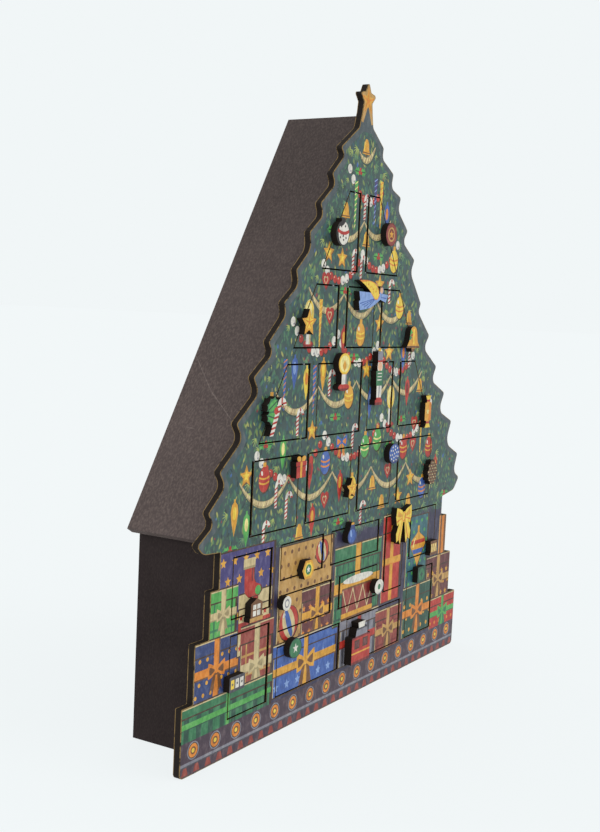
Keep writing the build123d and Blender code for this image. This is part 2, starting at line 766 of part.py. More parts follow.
def make_wall(side):
    """Side wall from the floor to the underside of the roof, bevelled to it."""
    points = [
        (side * WALL_INNER, 0),
        (side * WALL_OUTER, 0),
        (side * WALL_OUTER, roof_under(WALL_OUTER)),
        (side * WALL_INNER, roof_under(WALL_INNER)),
    ]
    return solid_polygon(points, PANEL_BACK, BOX_DEPTH)


def make_base():
    """Base board between the walls."""
    points = ((-WALL_INNER, 0), (WALL_INNER, 0), (WALL_INNER, BASE_THICK), (-WALL_INNER, BASE_THICK))
    return solid_polygon(points, PANEL_BACK, BOX_DEPTH)


def make_back():
    """Thin back sheet, let in between the walls, the roof and the base."""
    shoulder = roof_under(WALL_INNER)
    points = (
        (-WALL_INNER, BASE_THICK), (WALL_INNER, BASE_THICK), (WALL_INNER, shoulder),
        (0, roof_under(0)), (-WALL_INNER, shoulder),
    )
    return solid_polygon(points, BACK_FRONT, BACK_THICK)


def shelf(left, right, height):
    """Level board between two X places, from the front sheet to the back."""
    low = height - BOARD_THICK / 2
    high = height + BOARD_THICK / 2
    points = ((left[0], low), (right[0], low), (right[1], high), (left[1], high))
    return solid_polygon(points, PANEL_BACK, BACK_FRONT - PANEL_BACK)


def make_tree_shelves():
    """Shelves of the tree rows, bevelled to the walls or the roof at their ends."""
    boards = []
    for share in TREE_SHELF_SHARES:
        height = level(share)
        ends = []
        for face in (height - BOARD_THICK / 2, height + BOARD_THICK / 2):
            ends.append(min(roof_inner(face), WALL_INNER))
        boards.append(shelf([-end for end in ends], ends, height))
    return Compound(children=boards)


def upright(share, floor, ceiling):
    """Divider standing between two heights."""
    x = across(share)
    left = x - BOARD_THICK / 2
    right = x + BOARD_THICK / 2
    points = [(left, floor), (right, floor)]
    points += [(right, min(ceiling, roof_under(abs(right)))), (left, min(ceiling, roof_under(abs(left))))]
    if ceiling > roof_under(0):
        points.insert(3, (0, roof_under(0)))
    return solid_polygon(points, PANEL_BACK, BACK_FRONT - PANEL_BACK)


def make_tree_dividers():
    """Dividers of the tree rows; the topmost reaches the ridge."""
    boards = []
    for shares, (floor, ceiling) in zip(TREE_DIVIDER_SHARES, row_heights(RIDGE_HEIGHT)):
        boards += [upright(share, floor, ceiling) for share in shares]
    return Compound(children=boards)


def between(left, right, height):
    """Level board with square ends."""
    return shelf((left, left), (right, right), height)


def make_lower_shelves():
    """Shelves below the tree."""
    half = BOARD_THICK / 2
    first = across(LEFT_COLUMN_SHARE)
    last = across(RIGHT_COLUMN_SHARE)
    boards = [
        between(-WALL_INNER, first - half, level(LEFT_SHELF_SHARE)),
        between(last + half, WALL_INNER, level(RIGHT_SHELF_SHARE)),
        between(first + half, across(PARCEL_DIVIDER_SHARE) - half, level(UPPER_SHELF_SHARE)),
        between(first + half, last - half, level(LOWER_SHELF_SHARE)),
    ]
    return Compound(children=boards)


def make_lower_dividers():
    """Dividers below the tree."""
    half = BOARD_THICK / 2
    top = level(TREE_SHELF_SHARES[0]) - half
    high = level(UPPER_SHELF_SHARE)
    low = level(LOWER_SHELF_SHARE)
    boards = [
        upright(LEFT_COLUMN_SHARE, BASE_THICK, top),
        upright(RIGHT_COLUMN_SHARE, BASE_THICK, top),
        upright(PARCEL_DIVIDER_SHARE, low + half, top),
        upright(UPPER_DIVIDER_SHARE, high + half, top),
        upright(MIDDLE_DIVIDER_SHARE, low + half, high - half),
        upright(LOWER_DIVIDER_SHARE, BASE_THICK, low - half),
    ]
    return Compound(children=boards)


def make_pieces():
    """Every piece of the calendar by its node name."""
    all_doors = doors()
    pieces = {
        "front_panel": make_front_panel(all_doors),
        "left_roof": make_roof(-1),
        "right_roof": make_roof(1),
        "left_wall": make_wall(-1),
        "right_wall": make_wall(1),
        "base_board": make_base(),
        "back_panel": make_back(),
        "tree_shelves": make_tree_shelves(),
        "lower_shelves": make_lower_shelves(),
        "tree_dividers": make_tree_dividers(),
        "lower_dividers": make_lower_dividers(),
        "hinge_pins": make_hinge_pins(all_doors),
    }
    for door in all_doors:
        pieces[door.name] = make_door(door)
        pieces[door.knob_name] = make_knob(door)
    return pieces


def main():
    """Write one STEP file for each piece."""
    os.makedirs("parts", exist_ok=True)
    for name, shape in make_pieces().items():
        export_step(shape, f"parts/{name}.step")


if __name__ == "__main__":
    main()
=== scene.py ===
"""Dresses the wooden advent calendar: a painted tree-shaped front with 24 doors on a dark box."""

import json
import logging
import math
import random
from collections.abc import Iterable
from dataclasses import dataclass, field
from enum import Enum

import bpy
from mathutils import Matrix, Vector
from mathutils.geometry import delaunay_2d_cdt


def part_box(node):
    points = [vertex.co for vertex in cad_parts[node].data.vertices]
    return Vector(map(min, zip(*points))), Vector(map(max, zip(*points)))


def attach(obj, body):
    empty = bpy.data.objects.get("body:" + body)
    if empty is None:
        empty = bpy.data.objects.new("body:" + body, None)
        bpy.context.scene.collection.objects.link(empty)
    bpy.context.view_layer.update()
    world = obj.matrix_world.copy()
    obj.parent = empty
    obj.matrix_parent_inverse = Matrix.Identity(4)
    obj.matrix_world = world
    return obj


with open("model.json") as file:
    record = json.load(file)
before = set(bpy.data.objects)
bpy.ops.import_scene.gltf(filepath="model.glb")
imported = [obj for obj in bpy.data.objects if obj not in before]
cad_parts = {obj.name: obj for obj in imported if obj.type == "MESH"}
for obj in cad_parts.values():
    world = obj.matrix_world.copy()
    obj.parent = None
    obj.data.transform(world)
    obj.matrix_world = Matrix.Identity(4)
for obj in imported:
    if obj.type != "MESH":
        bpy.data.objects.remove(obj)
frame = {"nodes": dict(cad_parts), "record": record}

LOG = logging.getLogger("advent_calendar")
SEED = 24
MM = 0.001
# How far from a face a corner may lie and still count as on it, in metres
ON_FACE = 0.01 * MM
# Blender's triangulation: points closer than this many millimetres are one, and only the rings are filled
MERGED_WITHIN = 1e-4
FILL_RINGS = 1

Point = tuple[float, float]
Outline = list[Point]
Triple = tuple[float, float, float]


# Helpers for colours, shaders and objects

def linear(code: str) -> tuple[float, float, float, float]:
    """Turns an sRGB hex colour into linear RGBA.

    Args:
        code: colour such as "#a03020".

    Returns:
        Linear red, green, blue and an alpha of one.
    """
    channels = [int(code[k:k + 2], 16) / 255 for k in (1, 3, 5)]
    curve = [c / 12.92 if c <= 0.04045 else ((c + 0.055) / 1.055) ** 2.4 for c in channels]
    return (*curve, 1.0)


def toned(code: str, other: str, share: float) -> str:
    """Mixes two sRGB hex colours by a share of the second one, and gives the mix as a hex code."""
    pairs = zip(bytes.fromhex(code[1:]), bytes.fromhex(other[1:]))
    return "#" + bytes(round(a + (b - a) * share) for a, b in pairs).hex()


def add_node(tree: bpy.types.NodeTree, kind: str, inputs: dict | None = None,
             **settings: object) -> bpy.types.Node:
    """Adds one shader node with its settings and links.

    Args:
        tree: node tree that takes the node.
        kind: Blender's type name of the node.
        inputs: for each named or numbered input a value, an output socket, or a node whose output is meant.
        settings: attributes of the node itself.

    Returns:
        The new node.
    """
    node = tree.nodes.new(kind)
    for name, value in settings.items():
        setattr(node, name, value)
    for socket, value in (inputs or {}).items():
        if isinstance(value, bpy.types.Node):
            value = next(output for output in value.outputs if output.enabled)
        if isinstance(value, bpy.types.NodeSocket):
            tree.links.new(value, node.inputs[socket])
        else:
            node.inputs[socket].default_value = value
    return node


def empty_tree(owner: bpy.types.Material | bpy.types.World) -> bpy.types.NodeTree:
    """Gives a material or a world an empty node tree.

    Args:
        owner: the material or the world.

    Returns:
        Its node tree.
    """
    owner.use_nodes = True
    owner.node_tree.nodes.clear()
    return owner.node_tree


def add_object(name: str, data: bpy.types.ID) -> bpy.types.Object:
    """Puts an object into the scene.

    Args:
        name: its name.
        data: its mesh, light or camera.

    Returns:
        The object.
    """
    thing = bpy.data.objects.new(name, data)
    bpy.context.scene.collection.objects.link(thing)
    return thing


# Finishes

@dataclass(frozen=True)
class Finish:
    """What one surface is made of; a finish fills the inputs of one Principled shader."""

    name: str

    def sockets(self, tree: bpy.types.NodeTree) -> dict:
        """Gives a value or a node for each of the shader's inputs that the finish sets."""
        raise NotImplementedError

    def material(self) -> bpy.types.Material:
        """Makes the material on first use and gives the same one afterwards.

        Returns:
            The material.
        """
        found = bpy.data.materials.get(self.name)
        if found:
            return found
        material = bpy.data.materials.new(self.name)
        tree = empty_tree(material)
        shader = add_node(tree, "ShaderNodeBsdfPrincipled", self.sockets(tree))
        add_node(tree, "ShaderNodeOutputMaterial", {"Surface": shader})
        return material


@dataclass(frozen=True)
class PosterPaint(Finish):
    """Poster paint brushed on fibreboard and varnished: soft strokes of three tones under a satin film."""

    base: str
    stroke: float = 3.0
    contrast: float = 0.62
    # A brush's hairs leave lines of about 0.1 mm, drawn coarser here so that they show
    ripple: float = 0.5
    shade: str = "#0c0a12"
    light: str = "#fff4d8"

    def sockets(self, tree: bpy.types.NodeTree) -> dict:
        """Lays strokes from stretched noise, a few millimetres wide, and the ripple of the brush.

        Args:
            tree: node tree of the finish.

        Returns:
            The shader's inputs.
        """
        place = add_node(tree, "ShaderNodeTexCoord").outputs["Object"]
        lean = add_node(tree, "ShaderNodeMapping", {
            "Vector": place, "Rotation": (0.0, 0.7, 0.0), "Scale": (1.0, 1.0, 0.55)})
        tone = add_node(tree, "ShaderNodeTexNoise", {
            "Vector": lean, "Scale": 1 / (self.stroke * MM), "Detail": 3.0, "Roughness": 0.6})
        dark = add_node(tree, "ShaderNodeMapRange", {
            "Value": tone, "From Min": 0.52, "From Max": 0.3, "To Max": 0.75 * self.contrast})
        pale = add_node(tree, "ShaderNodeMapRange", {
            "Value": tone, "From Min": 0.5, "From Max": 0.72, "To Max": 0.8 * self.contrast})
        shaded = add_node(tree, "ShaderNodeMix", {
            0: dark, 6: linear(self.base), 7: linear(toned(self.base, self.shade, 0.42))}, data_type="RGBA")
        lit = add_node(tree, "ShaderNodeMix", {
            0: pale, 6: shaded, 7: linear(toned(self.base, self.light, 0.26))}, data_type="RGBA")
        ripple = add_node(tree, "ShaderNodeTexNoise", {
            "Vector": lean, "Scale": 1 / (self.ripple * MM), "Detail": 2.0})
        bump = add_node(tree, "ShaderNodeBump", {"Height": ripple, "Strength": 0.25, "Distance": 0.08 * MM})
        return {"Base Color": lit, "Roughness": 0.44, "Specular IOR Level": 0.3, "Normal": bump}


@dataclass(frozen=True)
class Dab:
    """One layer of brush dabs: cell size and dab length and width in millimetres, cover and colour."""

    cell: float
    length: float
    width: float
    cover: float
    colour: str


@dataclass(frozen=True)
class FirPaint(Finish):
    """Fir boughs in poster paint: layers of short leaning dabs over a dark green ground, varnished satin."""

    ground: str
    dabs: tuple[Dab, ...]
    # How far the dabs lean to either side, in radians together
    spread: float = 1.6
    # How far each layer is moved over the one before, in metres, so that their cells don't meet
    shift: Point = (0.37, 0.19)
    bough: float = 24.0
    mottle: float = 14.0
    shade: str = "#050a0c"
    light: str = "#8ab0a0"

    def sockets(self, tree: bpy.types.NodeTree) -> dict:
        """Mottles the ground and lays the dabs on it, layer over layer.

        Args:
            tree: node tree of the finish.

        Returns:
            The shader's inputs.
        """
        place = add_node(tree, "ShaderNodeTexCoord").outputs["Object"]
        parts = add_node(tree, "ShaderNodeSeparateXYZ", {0: place})
        flat = add_node(tree, "ShaderNodeCombineXYZ", {0: parts.outputs["X"], 1: parts.outputs["Z"]})
        mottle = add_node(tree, "ShaderNodeTexNoise", {
            "Vector": flat, "Scale": 1 / (self.mottle * MM), "Detail": 4.0, "Roughness": 0.65})
        colour = add_node(tree, "ShaderNodeMix", {
            0: mottle, 6: linear(toned(self.ground, self.shade, 0.3)),
            7: linear(toned(self.ground, self.light, 0.2))}, data_type="RGBA")
        for layer, dab in enumerate(self.dabs):
            away = (layer * self.shift[0], layer * self.shift[1], 0.0)
            moved = add_node(tree, "ShaderNodeVectorMath", {0: flat, 1: away})
            mask = self.dab_mask(tree, dab, moved)
            colour = add_node(tree, "ShaderNodeMix", {
                0: mask, 6: colour, 7: linear(dab.colour)}, data_type="RGBA")
        bump = add_node(tree, "ShaderNodeBump", {"Height": mottle, "Strength": 0.2, "Distance": 0.1 * MM})
        return {"Base Color": colour, "Roughness": 0.46, "Specular IOR Level": 0.28, "Normal": bump}

    def dab_mask(self, tree: bpy.types.NodeTree, dab: Dab, place: bpy.types.Node) -> bpy.types.Node:
        """Masks one upright oval dab in each Voronoi cell, leaning and sized by the cell's own chance.

        Args:
            tree: node tree of the finish.
            dab: sizes and cover of the dabs.
            place: place in width and height.

        Returns:
            The mask's node.
        """
        cells = add_node(tree, "ShaderNodeTexVoronoi", {
            "Vector": place, "Scale": 1 / (dab.cell * MM)}, voronoi_dimensions="2D")
        chance = add_node(tree, "ShaderNodeSeparateColor", {0: cells.outputs["Color"]})
        local = add_node(tree, "ShaderNodeVectorMath", {
            0: place, 1: cells.outputs["Position"]}, operation="SUBTRACT")
        lean = add_node(tree, "ShaderNodeMath", {
            0: chance.outputs["Red"], 1: self.spread, 2: (math.pi - self.spread) / 2},
            operation="MULTIPLY_ADD")
        turned = add_node(tree, "ShaderNodeVectorRotate", {
            "Vector": local, "Angle": lean}, rotation_type="Z_AXIS")
        oval = add_node(tree, "ShaderNodeVectorMath", {
            0: turned, 1: (2 / (dab.length * MM), 2 / (dab.width * MM), 0.0)}, operation="MULTIPLY")
        reach = add_node(tree, "ShaderNodeVectorMath", {0: oval}, operation="LENGTH")
        size = add_node(tree, "ShaderNodeMapRange", {
            "Value": chance.outputs["Blue"], "To Min": 0.75, "To Max": 1.45})
        sized = add_node(tree, "ShaderNodeMath", {0: reach, 1: size}, operation="MULTIPLY")
        inside = add_node(tree, "ShaderNodeMapRange", {
            "Value": sized, "From Min": 1.1, "From Max": 0.5, "To Max": 0.9})
        crowd = add_node(tree, "ShaderNodeTexNoise", {
            "Vector": cells.outputs["Position"], "Scale": 1 / (self.bough * MM), "Detail": 1.0})
        often = add_node(tree, "ShaderNodeMapRange", {
            "Value": crowd, "From Min": 0.36, "From Max": 0.64, "To Min": 0.25 * dab.cover,
            "To Max": 1.75 * dab.cover})
        drawn = add_node(tree, "ShaderNodeMath", {
            0: chance.outputs["Green"], 1: often}, operation="LESS_THAN")
        return add_node(tree, "ShaderNodeMath", {0: inside, 1: drawn}, operation="MULTIPLY")


@dataclass(frozen=True)
class BoardPaint(Finish):
    """Thin matt paint rolled on fibreboard: close grain, cloudy tone, a few pale rub marks, and painted shade
    towards the top where asked.
    """

    base: str
    # The roller's real stipple is about 0.3 mm, drawn coarser here so that it shows
    grain: float = 0.7
    cloud: float = 45.0
    sheen: float = 0.15
    tooth: float = 1.0
    # Heights between which painted shade darkens the board towards the top, in millimetres, if it does
    dulled: Point | None = None
    # Depth and height of both ends of each rub mark, in millimetres
    marks: tuple[tuple[float, float, float, float], ...] = ()
    mark_width: float = 0.45

    def sockets(self, tree: bpy.types.NodeTree) -> dict:
        """Lays cloud and grain from noise, painted shade that darkens the board upwards, and each rub mark as
        a faint line over them.

        Args:
            tree: node tree of the finish.

        Returns:
            The shader's inputs.
        """
        place = add_node(tree, "ShaderNodeTexCoord").outputs["Object"]
        cloud = add_node(tree, "ShaderNodeTexNoise", {
            "Vector": place, "Scale": 1 / (self.cloud * MM), "Detail": 5.0, "Roughness": 0.6})
        streak = add_node(tree, "ShaderNodeMapping", {
            "Vector": place, "Rotation": (0.3, 0.55, 0.0), "Scale": (1.0, 1.0, 0.4)})
        grain = add_node(tree, "ShaderNodeTexNoise", {
            "Vector": streak, "Scale": 1 / (self.grain * MM), "Detail": 3.0})
        clouded = add_node(tree, "ShaderNodeMix", {
            0: cloud, 6: linear(toned(self.base, "#000000", 0.2)),
            7: linear(toned(self.base, "#b0a0a0", 0.12))}, data_type="RGBA")
        specked = add_node(tree, "ShaderNodeMapRange", {
            "Value": grain, "From Min": 0.42, "From Max": 0.7, "To Max": 0.36 * self.tooth})
        colour = add_node(tree, "ShaderNodeMix", {
            0: specked, 6: clouded, 7: linear(toned(self.base, "#a8988c", 0.4))}, data_type="RGBA")
        parts = add_node(tree, "ShaderNodeSeparateXYZ", {0: place})
        # Painted shade: between the two heights the board darkens upwards
        if self.dulled:
            low, high = self.dulled
            painted_shade = add_node(tree, "ShaderNodeMapRange", {
                "Value": parts.outputs["Z"], "From Min": low * MM, "From Max": high * MM, "To Max": 0.4})
            colour = add_node(tree, "ShaderNodeMix", {
                0: painted_shade, 6: colour, 7: linear(toned(self.base, "#000000", 0.6))}, data_type="RGBA")
        flat = add_node(tree, "ShaderNodeCombineXYZ", {0: parts.outputs["Y"], 1: parts.outputs["Z"]})
        for mark in self.marks:
            rubbed = self.rub_mask(tree, flat, mark, grain)
            colour = add_node(tree, "ShaderNodeMix", {
                0: rubbed, 6: colour, 7: linear(toned(self.base, "#d0c4b8", 0.36))}, data_type="RGBA")
        bump = add_node(tree, "ShaderNodeBump", {
            "Height": grain, "Strength": 0.3 * self.tooth, "Distance": 0.1 * MM})
        return {"Base Color": colour, "Roughness": 0.72, "Specular IOR Level": self.sheen, "Normal": bump}

    def rub_mask(self, tree: bpy.types.NodeTree, flat: bpy.types.Node, mark: tuple[float, ...],
                 grain: bpy.types.Node) -> bpy.types.Node:
        """Masks one rub mark.

        Args:
            tree: node tree of the finish.
            flat: place in depth and height.
            mark: depth and height of both ends in millimetres.
            grain: the board's grain, which breaks the line up.

        Returns:
            The mask's node.
        """
        start, end = Vector(mark[:2]), Vector(mark[2:])
        middle, reach = (start + end) / 2 * MM, (end - start) / 2 * MM
        way = reach.normalized()
        local = add_node(tree, "ShaderNodeVectorMath", {0: flat, 1: (*middle, 0.0)}, operation="SUBTRACT")
        mask = grain
        # Along its length the mark fades over the last fifth, and across it from the middle line outwards
        for axis, low, high in (((*way, 0.0), 0.8 * reach.length, reach.length + MM),
                                ((-way.y, way.x, 0.0), 0.0, self.mark_width * MM)):
            along = add_node(tree, "ShaderNodeVectorMath", {0: local, 1: axis}, operation="DOT_PRODUCT")
            away = add_node(tree, "ShaderNodeMath", {0: along}, operation="ABSOLUTE")
            near = add_node(tree, "ShaderNodeMapRange", {"Value": away, "From Min": high, "From Max": low})
            mask = add_node(tree, "ShaderNodeMath", {0: mask, 1: near}, operation="MULTIPLY")
        return mask


@dataclass(frozen=True)
class SawnEdge(Finish):
    """Fibreboard sawn to shape and blacked: dark edges, rubbed to bare tan board along the arrises."""

    front: float
    back: float
    black: str = "#191412"
    bare: str = "#9b7f50"
    rub: float = 0.6
    chip: float = 5.0
    # Sawn fibres are about 0.3 mm, drawn coarser here so that they show
    fibre: float = 0.8

    def sockets(self, tree: bpy.types.NodeTree) -> dict:
        """Mixes dark board with tan where the surface lies within the rubbed width of either face.

        Args:
            tree: node tree of the finish.

        Returns:
            The shader's inputs.
        """
        coords = add_node(tree, "ShaderNodeTexCoord")
        place = coords.outputs["Object"]
        parts = add_node(tree, "ShaderNodeSeparateXYZ", {0: place})
        facing = add_node(tree, "ShaderNodeSeparateXYZ", {0: coords.outputs["Normal"]})
        middle, half = (self.front + self.back) / 2, (self.back - self.front) / 2
        depth = add_node(tree, "ShaderNodeMath", {0: parts.outputs["Y"], 1: middle}, operation="SUBTRACT")
        reach = add_node(tree, "ShaderNodeMath", {0: depth}, operation="ABSOLUTE")
        arris = add_node(tree, "ShaderNodeMapRange", {
            "Value": reach, "From Min": half - self.rub * MM, "From Max": half - 0.3 * self.rub * MM})
        rear = add_node(tree, "ShaderNodeMath", {0: facing.outputs["Y"], 1: 0.5}, operation="LESS_THAN")
        chips = add_node(tree, "ShaderNodeTexNoise", {
            "Vector": place, "Scale": 1 / (self.chip * MM), "Detail": 4.0, "Roughness": 0.7})
        worn = add_node(tree, "ShaderNodeMapRange", {"Value": chips, "From Min": 0.36, "From Max": 0.5})
        edge = add_node(tree, "ShaderNodeMath", {0: arris, 1: worn}, operation="MULTIPLY")
        mask = add_node(tree, "ShaderNodeMath", {0: edge, 1: rear}, operation="MULTIPLY")
        fibre = add_node(tree, "ShaderNodeTexNoise", {
            "Vector": place, "Scale": 1 / (self.fibre * MM), "Detail": 3.0})
        dark = add_node(tree, "ShaderNodeMix", {
            0: fibre, 6: linear(toned(self.black, "#000000", 0.5)),
            7: linear(toned(self.black, "#6a5038", 0.2))}, data_type="RGBA")
        tan = add_node(tree, "ShaderNodeMix", {
            0: fibre, 6: linear(toned(self.bare, "#201408", 0.3)), 7: linear(self.bare)}, data_type="RGBA")
        colour = add_node(tree, "ShaderNodeMix", {0: mask, 6: dark, 7: tan}, data_type="RGBA")
        bump = add_node(tree, "ShaderNodeBump", {"Height": fibre, "Strength": 0.35, "Distance": 0.12 * MM})
        return {"Base Color": colour, "Roughness": 0.78, "Specular IOR Level": 0.15, "Normal": bump}


@dataclass(frozen=True)
class BareBoard(Finish):
    """Unpainted pressed hardboard inside the box: warm brown with short darker fibres."""

    base: str
    cloud: float = 30.0
    fleck: float = 0.9

    def sockets(self, tree: bpy.types.NodeTree) -> dict:
        """Scatters fibre flecks about a millimetre long over a slow change of tone.

        Args:
            tree: node tree of the finish.

        Returns:
            The shader's inputs.
        """
        place = add_node(tree, "ShaderNodeTexCoord").outputs["Object"]
        slow = add_node(tree, "ShaderNodeTexNoise", {
            "Vector": place, "Scale": 1 / (self.cloud * MM), "Detail": 3.0})
        fleck = add_node(tree, "ShaderNodeTexNoise", {
            "Vector": place, "Scale": 1 / (self.fleck * MM), "Detail": 4.0, "Distortion": 1.2})
        clouded = add_node(tree, "ShaderNodeMix", {
            0: slow, 6: linear(toned(self.base, "#201408", 0.25)), 7: linear(self.base)}, data_type="RGBA")
        share = add_node(tree, "ShaderNodeMapRange", {
            "Value": fleck, "From Min": 0.55, "From Max": 0.75, "To Max": 0.6})
        colour = add_node(tree, "ShaderNodeMix", {
            0: share, 6: clouded, 7: linear(toned(self.base, "#1a0f06", 0.6))}, data_type="RGBA")
        bump = add_node(tree, "ShaderNodeBump", {"Height": fleck, "Strength": 0.3, "Distance": 0.1 * MM})
        return {"Base Color": colour, "Roughness": 0.8, "Specular IOR Level": 0.25, "Normal": bump}


@dataclass(frozen=True)
class BrightWire(Finish):
    """Drawn steel wire for the hinge pins: bright, with fine lines along its length."""

    colour: str = "#b8b8ba"
    # The die leaves lines of a few hundredths of a millimetre, drawn coarser here so that they show
    line: float = 0.2

    def sockets(self, tree: bpy.types.NodeTree) -> dict:
        """Draws lines out along the wire, in the roughness only.

        Args:
            tree: node tree of the finish.

        Returns:
            The shader's inputs.
        """
        place = add_node(tree, "ShaderNodeTexCoord").outputs["Object"]
        drawn = add_node(tree, "ShaderNodeMapping", {"Vector": place, "Scale": (1.0, 1.0, 0.05)})
        lines = add_node(tree, "ShaderNodeTexNoise", {
            "Vector": drawn, "Scale": 1 / (self.line * MM), "Detail": 2.0})
        rough = add_node(tree, "ShaderNodeMapRange", {"Value": lines, "To Min": 0.22, "To Max": 0.42})
        return {"Base Color": linear(self.colour), "Metallic": 1.0, "Roughness": rough}


class Paint(Enum):
    """The paints on the front and the knobs."""

    BLACK = PosterPaint("black_poster_paint", "#1c1816", contrast=0.5)
    NIGHT = PosterPaint("night_blue_poster_paint", "#302c46", stroke=5.0)
    SLATE = PosterPaint("slate_poster_paint", "#454f53", stroke=6.0, contrast=0.5)
    FIR = FirPaint("fir_bough_poster_paint", "#3a4a49", (
        Dab(7.0, 9.0, 4.4, 0.7, "#34504a"),
        Dab(5.6, 7.0, 3.0, 0.55, "#3d6250"),
        Dab(5.2, 6.0, 2.4, 0.45, "#36555e"),
        Dab(4.4, 5.2, 2.0, 0.5, "#4d7355"),
        Dab(6.0, 5.4, 2.4, 0.34, "#74864c"),
        Dab(7.5, 4.6, 1.9, 0.24, "#a3a25a"),
        Dab(5.0, 5.0, 1.8, 0.3, "#293639"),
        Dab(11.0, 2.8, 2.2, 0.16, "#8a3540"),
        Dab(13.0, 3.4, 2.2, 0.16, "#44649c"),
    ))
    NEEDLE = PosterPaint("light_fir_poster_paint", "#5d8258", stroke=1.5)
    NEEDLE_GOLD = PosterPaint("yellow_fir_poster_paint", "#93a155", stroke=1.5)
    NEEDLE_DARK = PosterPaint("deep_fir_poster_paint", "#274238", stroke=1.5)
    RED = PosterPaint("red_poster_paint", "#a92a20")
    DEEP_RED = PosterPaint("deep_red_poster_paint", "#6f1d1c")
    BRICK = PosterPaint("brick_red_poster_paint", "#8a3a30")
    MAROON = PosterPaint("maroon_poster_paint", "#5c2a2c", stroke=4.0)
    ORANGE = PosterPaint("orange_poster_paint", "#cf7a24")
    GOLD = PosterPaint("gold_poster_paint", "#cf942e")
    YELLOW = PosterPaint("yellow_poster_paint", "#dfbd3e")
    GLOW = PosterPaint("pale_yellow_poster_paint", "#e3d488", contrast=0.8)
    CREAM = PosterPaint("cream_poster_paint", "#c2ae80")
    STRAW = PosterPaint("straw_poster_paint", "#9a8a62")
    WHITE = PosterPaint("white_poster_paint", "#d4cfc4", contrast=0.7)
    SKIN = PosterPaint("skin_poster_paint", "#d9a987", contrast=0.5)
    BLUE = PosterPaint("blue_poster_paint", "#3a5a9e")
    SKY = PosterPaint("light_blue_poster_paint", "#7d98c9")
    NAVY = PosterPaint("navy_poster_paint", "#2a3a6a")
    PURPLE = PosterPaint("purple_poster_paint", "#40396e", stroke=4.0)
    PLUM = PosterPaint("plum_poster_paint", "#43333f", stroke=4.0)
    LEAF = PosterPaint("leaf_green_poster_paint", "#4c9a48")
    GREEN = PosterPaint("green_poster_paint", "#2f6e48", stroke=4.0)
    PINE = PosterPaint("pine_green_poster_paint", "#22493a", stroke=4.0)
    TEAL = PosterPaint("teal_poster_paint", "#2f6068", stroke=4.0)
    TAN = PosterPaint("tan_poster_paint", "#b58a4a", stroke=4.0)
    BROWN = PosterPaint("brown_poster_paint", "#6b4526")
    UMBER = PosterPaint("umber_poster_paint", "#3d281a")
    GREY = PosterPaint("grey_poster_paint", "#7c7a84", stroke=4.0)
    DARK_GREY = PosterPaint("dark_grey_poster_paint", "#45444c")


class Coat(Enum):
    """A coat whose paint is chosen when a motif is painted."""

    MAIN = 0
    SECOND = 1


# Places and marks; places are in X and Z, and every outline runs counter-clockwise

def around(count: int, wide: float, tall: float, turn: float = 0.25) -> Outline:
    """Gives even places round an oval of two half sizes, the first one some turns on from the right."""
    angles = [2 * math.pi * (turn + k / count) for k in range(count)]
    return [(wide * math.cos(angle), tall * math.sin(angle)) for angle in angles]


def evenly(half: float, count: int) -> list[float]:
    """Gives even places from one side of the middle to the other."""
    return [half * (2 * k / (count - 1) - 1) for k in range(count)]


def hanging(start: Point, end: Point, sag: float, count: int) -> Outline:
    """Gives places along a line that hangs between two ends.

    Args:
        start: first end.
        end: second end.
        sag: drop at the middle.
        count: number of spans.

    Returns:
        The places from the first end to the second.
    """
    (x0, z0), (x1, z1) = start, end
    steps = [k / count for k in range(count + 1)]
    return [(x0 + (x1 - x0) * t, z0 + (z1 - z0) * t - 4 * sag * t * (1 - t)) for t in steps]


def zigzag(start: float, step: float, rise: float, count: int = 6) -> list[Outline]:
    """Gives the runs of a zigzag about the middle height.

    Args:
        start: where the first run starts.
        step: width of a run.
        rise: half its height; the first run goes down.
        count: number of runs.

    Returns:
        Both ends of each run.
    """
    runs = []
    for k in range(count):
        end = rise if k % 2 else -rise
        runs.append([(start + k * step, -end), (start + (k + 1) * step, end)])
    return runs


def area(outline: Outline) -> float:
    """Gives an outline's area, positive if counter-clockwise."""
    return sum(a[0] * b[1] - b[0] * a[1] for a, b in zip(outline, outline[1:] + outline[:1])) / 2


def drawn_in(outline: Outline, distance: float) -> Outline:
    """Draws a counter-clockwise outline in by a small distance.

    Args:
        outline: points of the outline.
        distance: how far each side moves inwards.

    Returns:
        The smaller outline, with as many points.
    """
    moved = []
    for before, here, after in zip(outline[-1:] + outline[:-1], outline, outline[1:] + outline[:1]):
        a = Vector((before[1] - here[1], here[0] - before[0])).normalized()
        b = Vector((here[1] - after[1], after[0] - here[0])).normalized()
        mean = (a + b).normalized()
        reach = distance / max(0.5, mean.dot(b))
        moved.append((here[0] + mean.x * reach, here[1] + mean.y * reach))
    return moved


@dataclass(frozen=True)
class Spot:
    """The part of a picture that a motif fills: its middle, width and height in millimetres."""

    x: float = 0.0
    z: float = 0.0
    width: float = 1.0
    height: float = 1.0

    def at(self, across: float, up: float) -> Point:
        """Gives the place at two shares of the width and the height from the middle."""
        return (self.x + across * self.width, self.z + up * self.height)

    def clear_of(self, other: "Spot", room: float) -> bool:
        """Tells whether another spot is further off than some room, sideways or in height."""
        across, up = abs(self.x - other.x), abs(self.z - other.z)
        return across > (self.width + other.width) / 2 + room or up > (self.height + other.height) / 2 + room


# One millimetre about the origin: shares of it are millimetres of the whole sheet
SHEET = Spot()


@dataclass(frozen=True)
class Mark:
    """One painted shape; its places and sizes are shares of the spot that it is painted in."""

    paint: Paint | Coat

    def outline(self, spot: Spot) -> Outline:
        """Draws the shape's edge where it is painted, in millimetres."""
        raise NotImplementedError


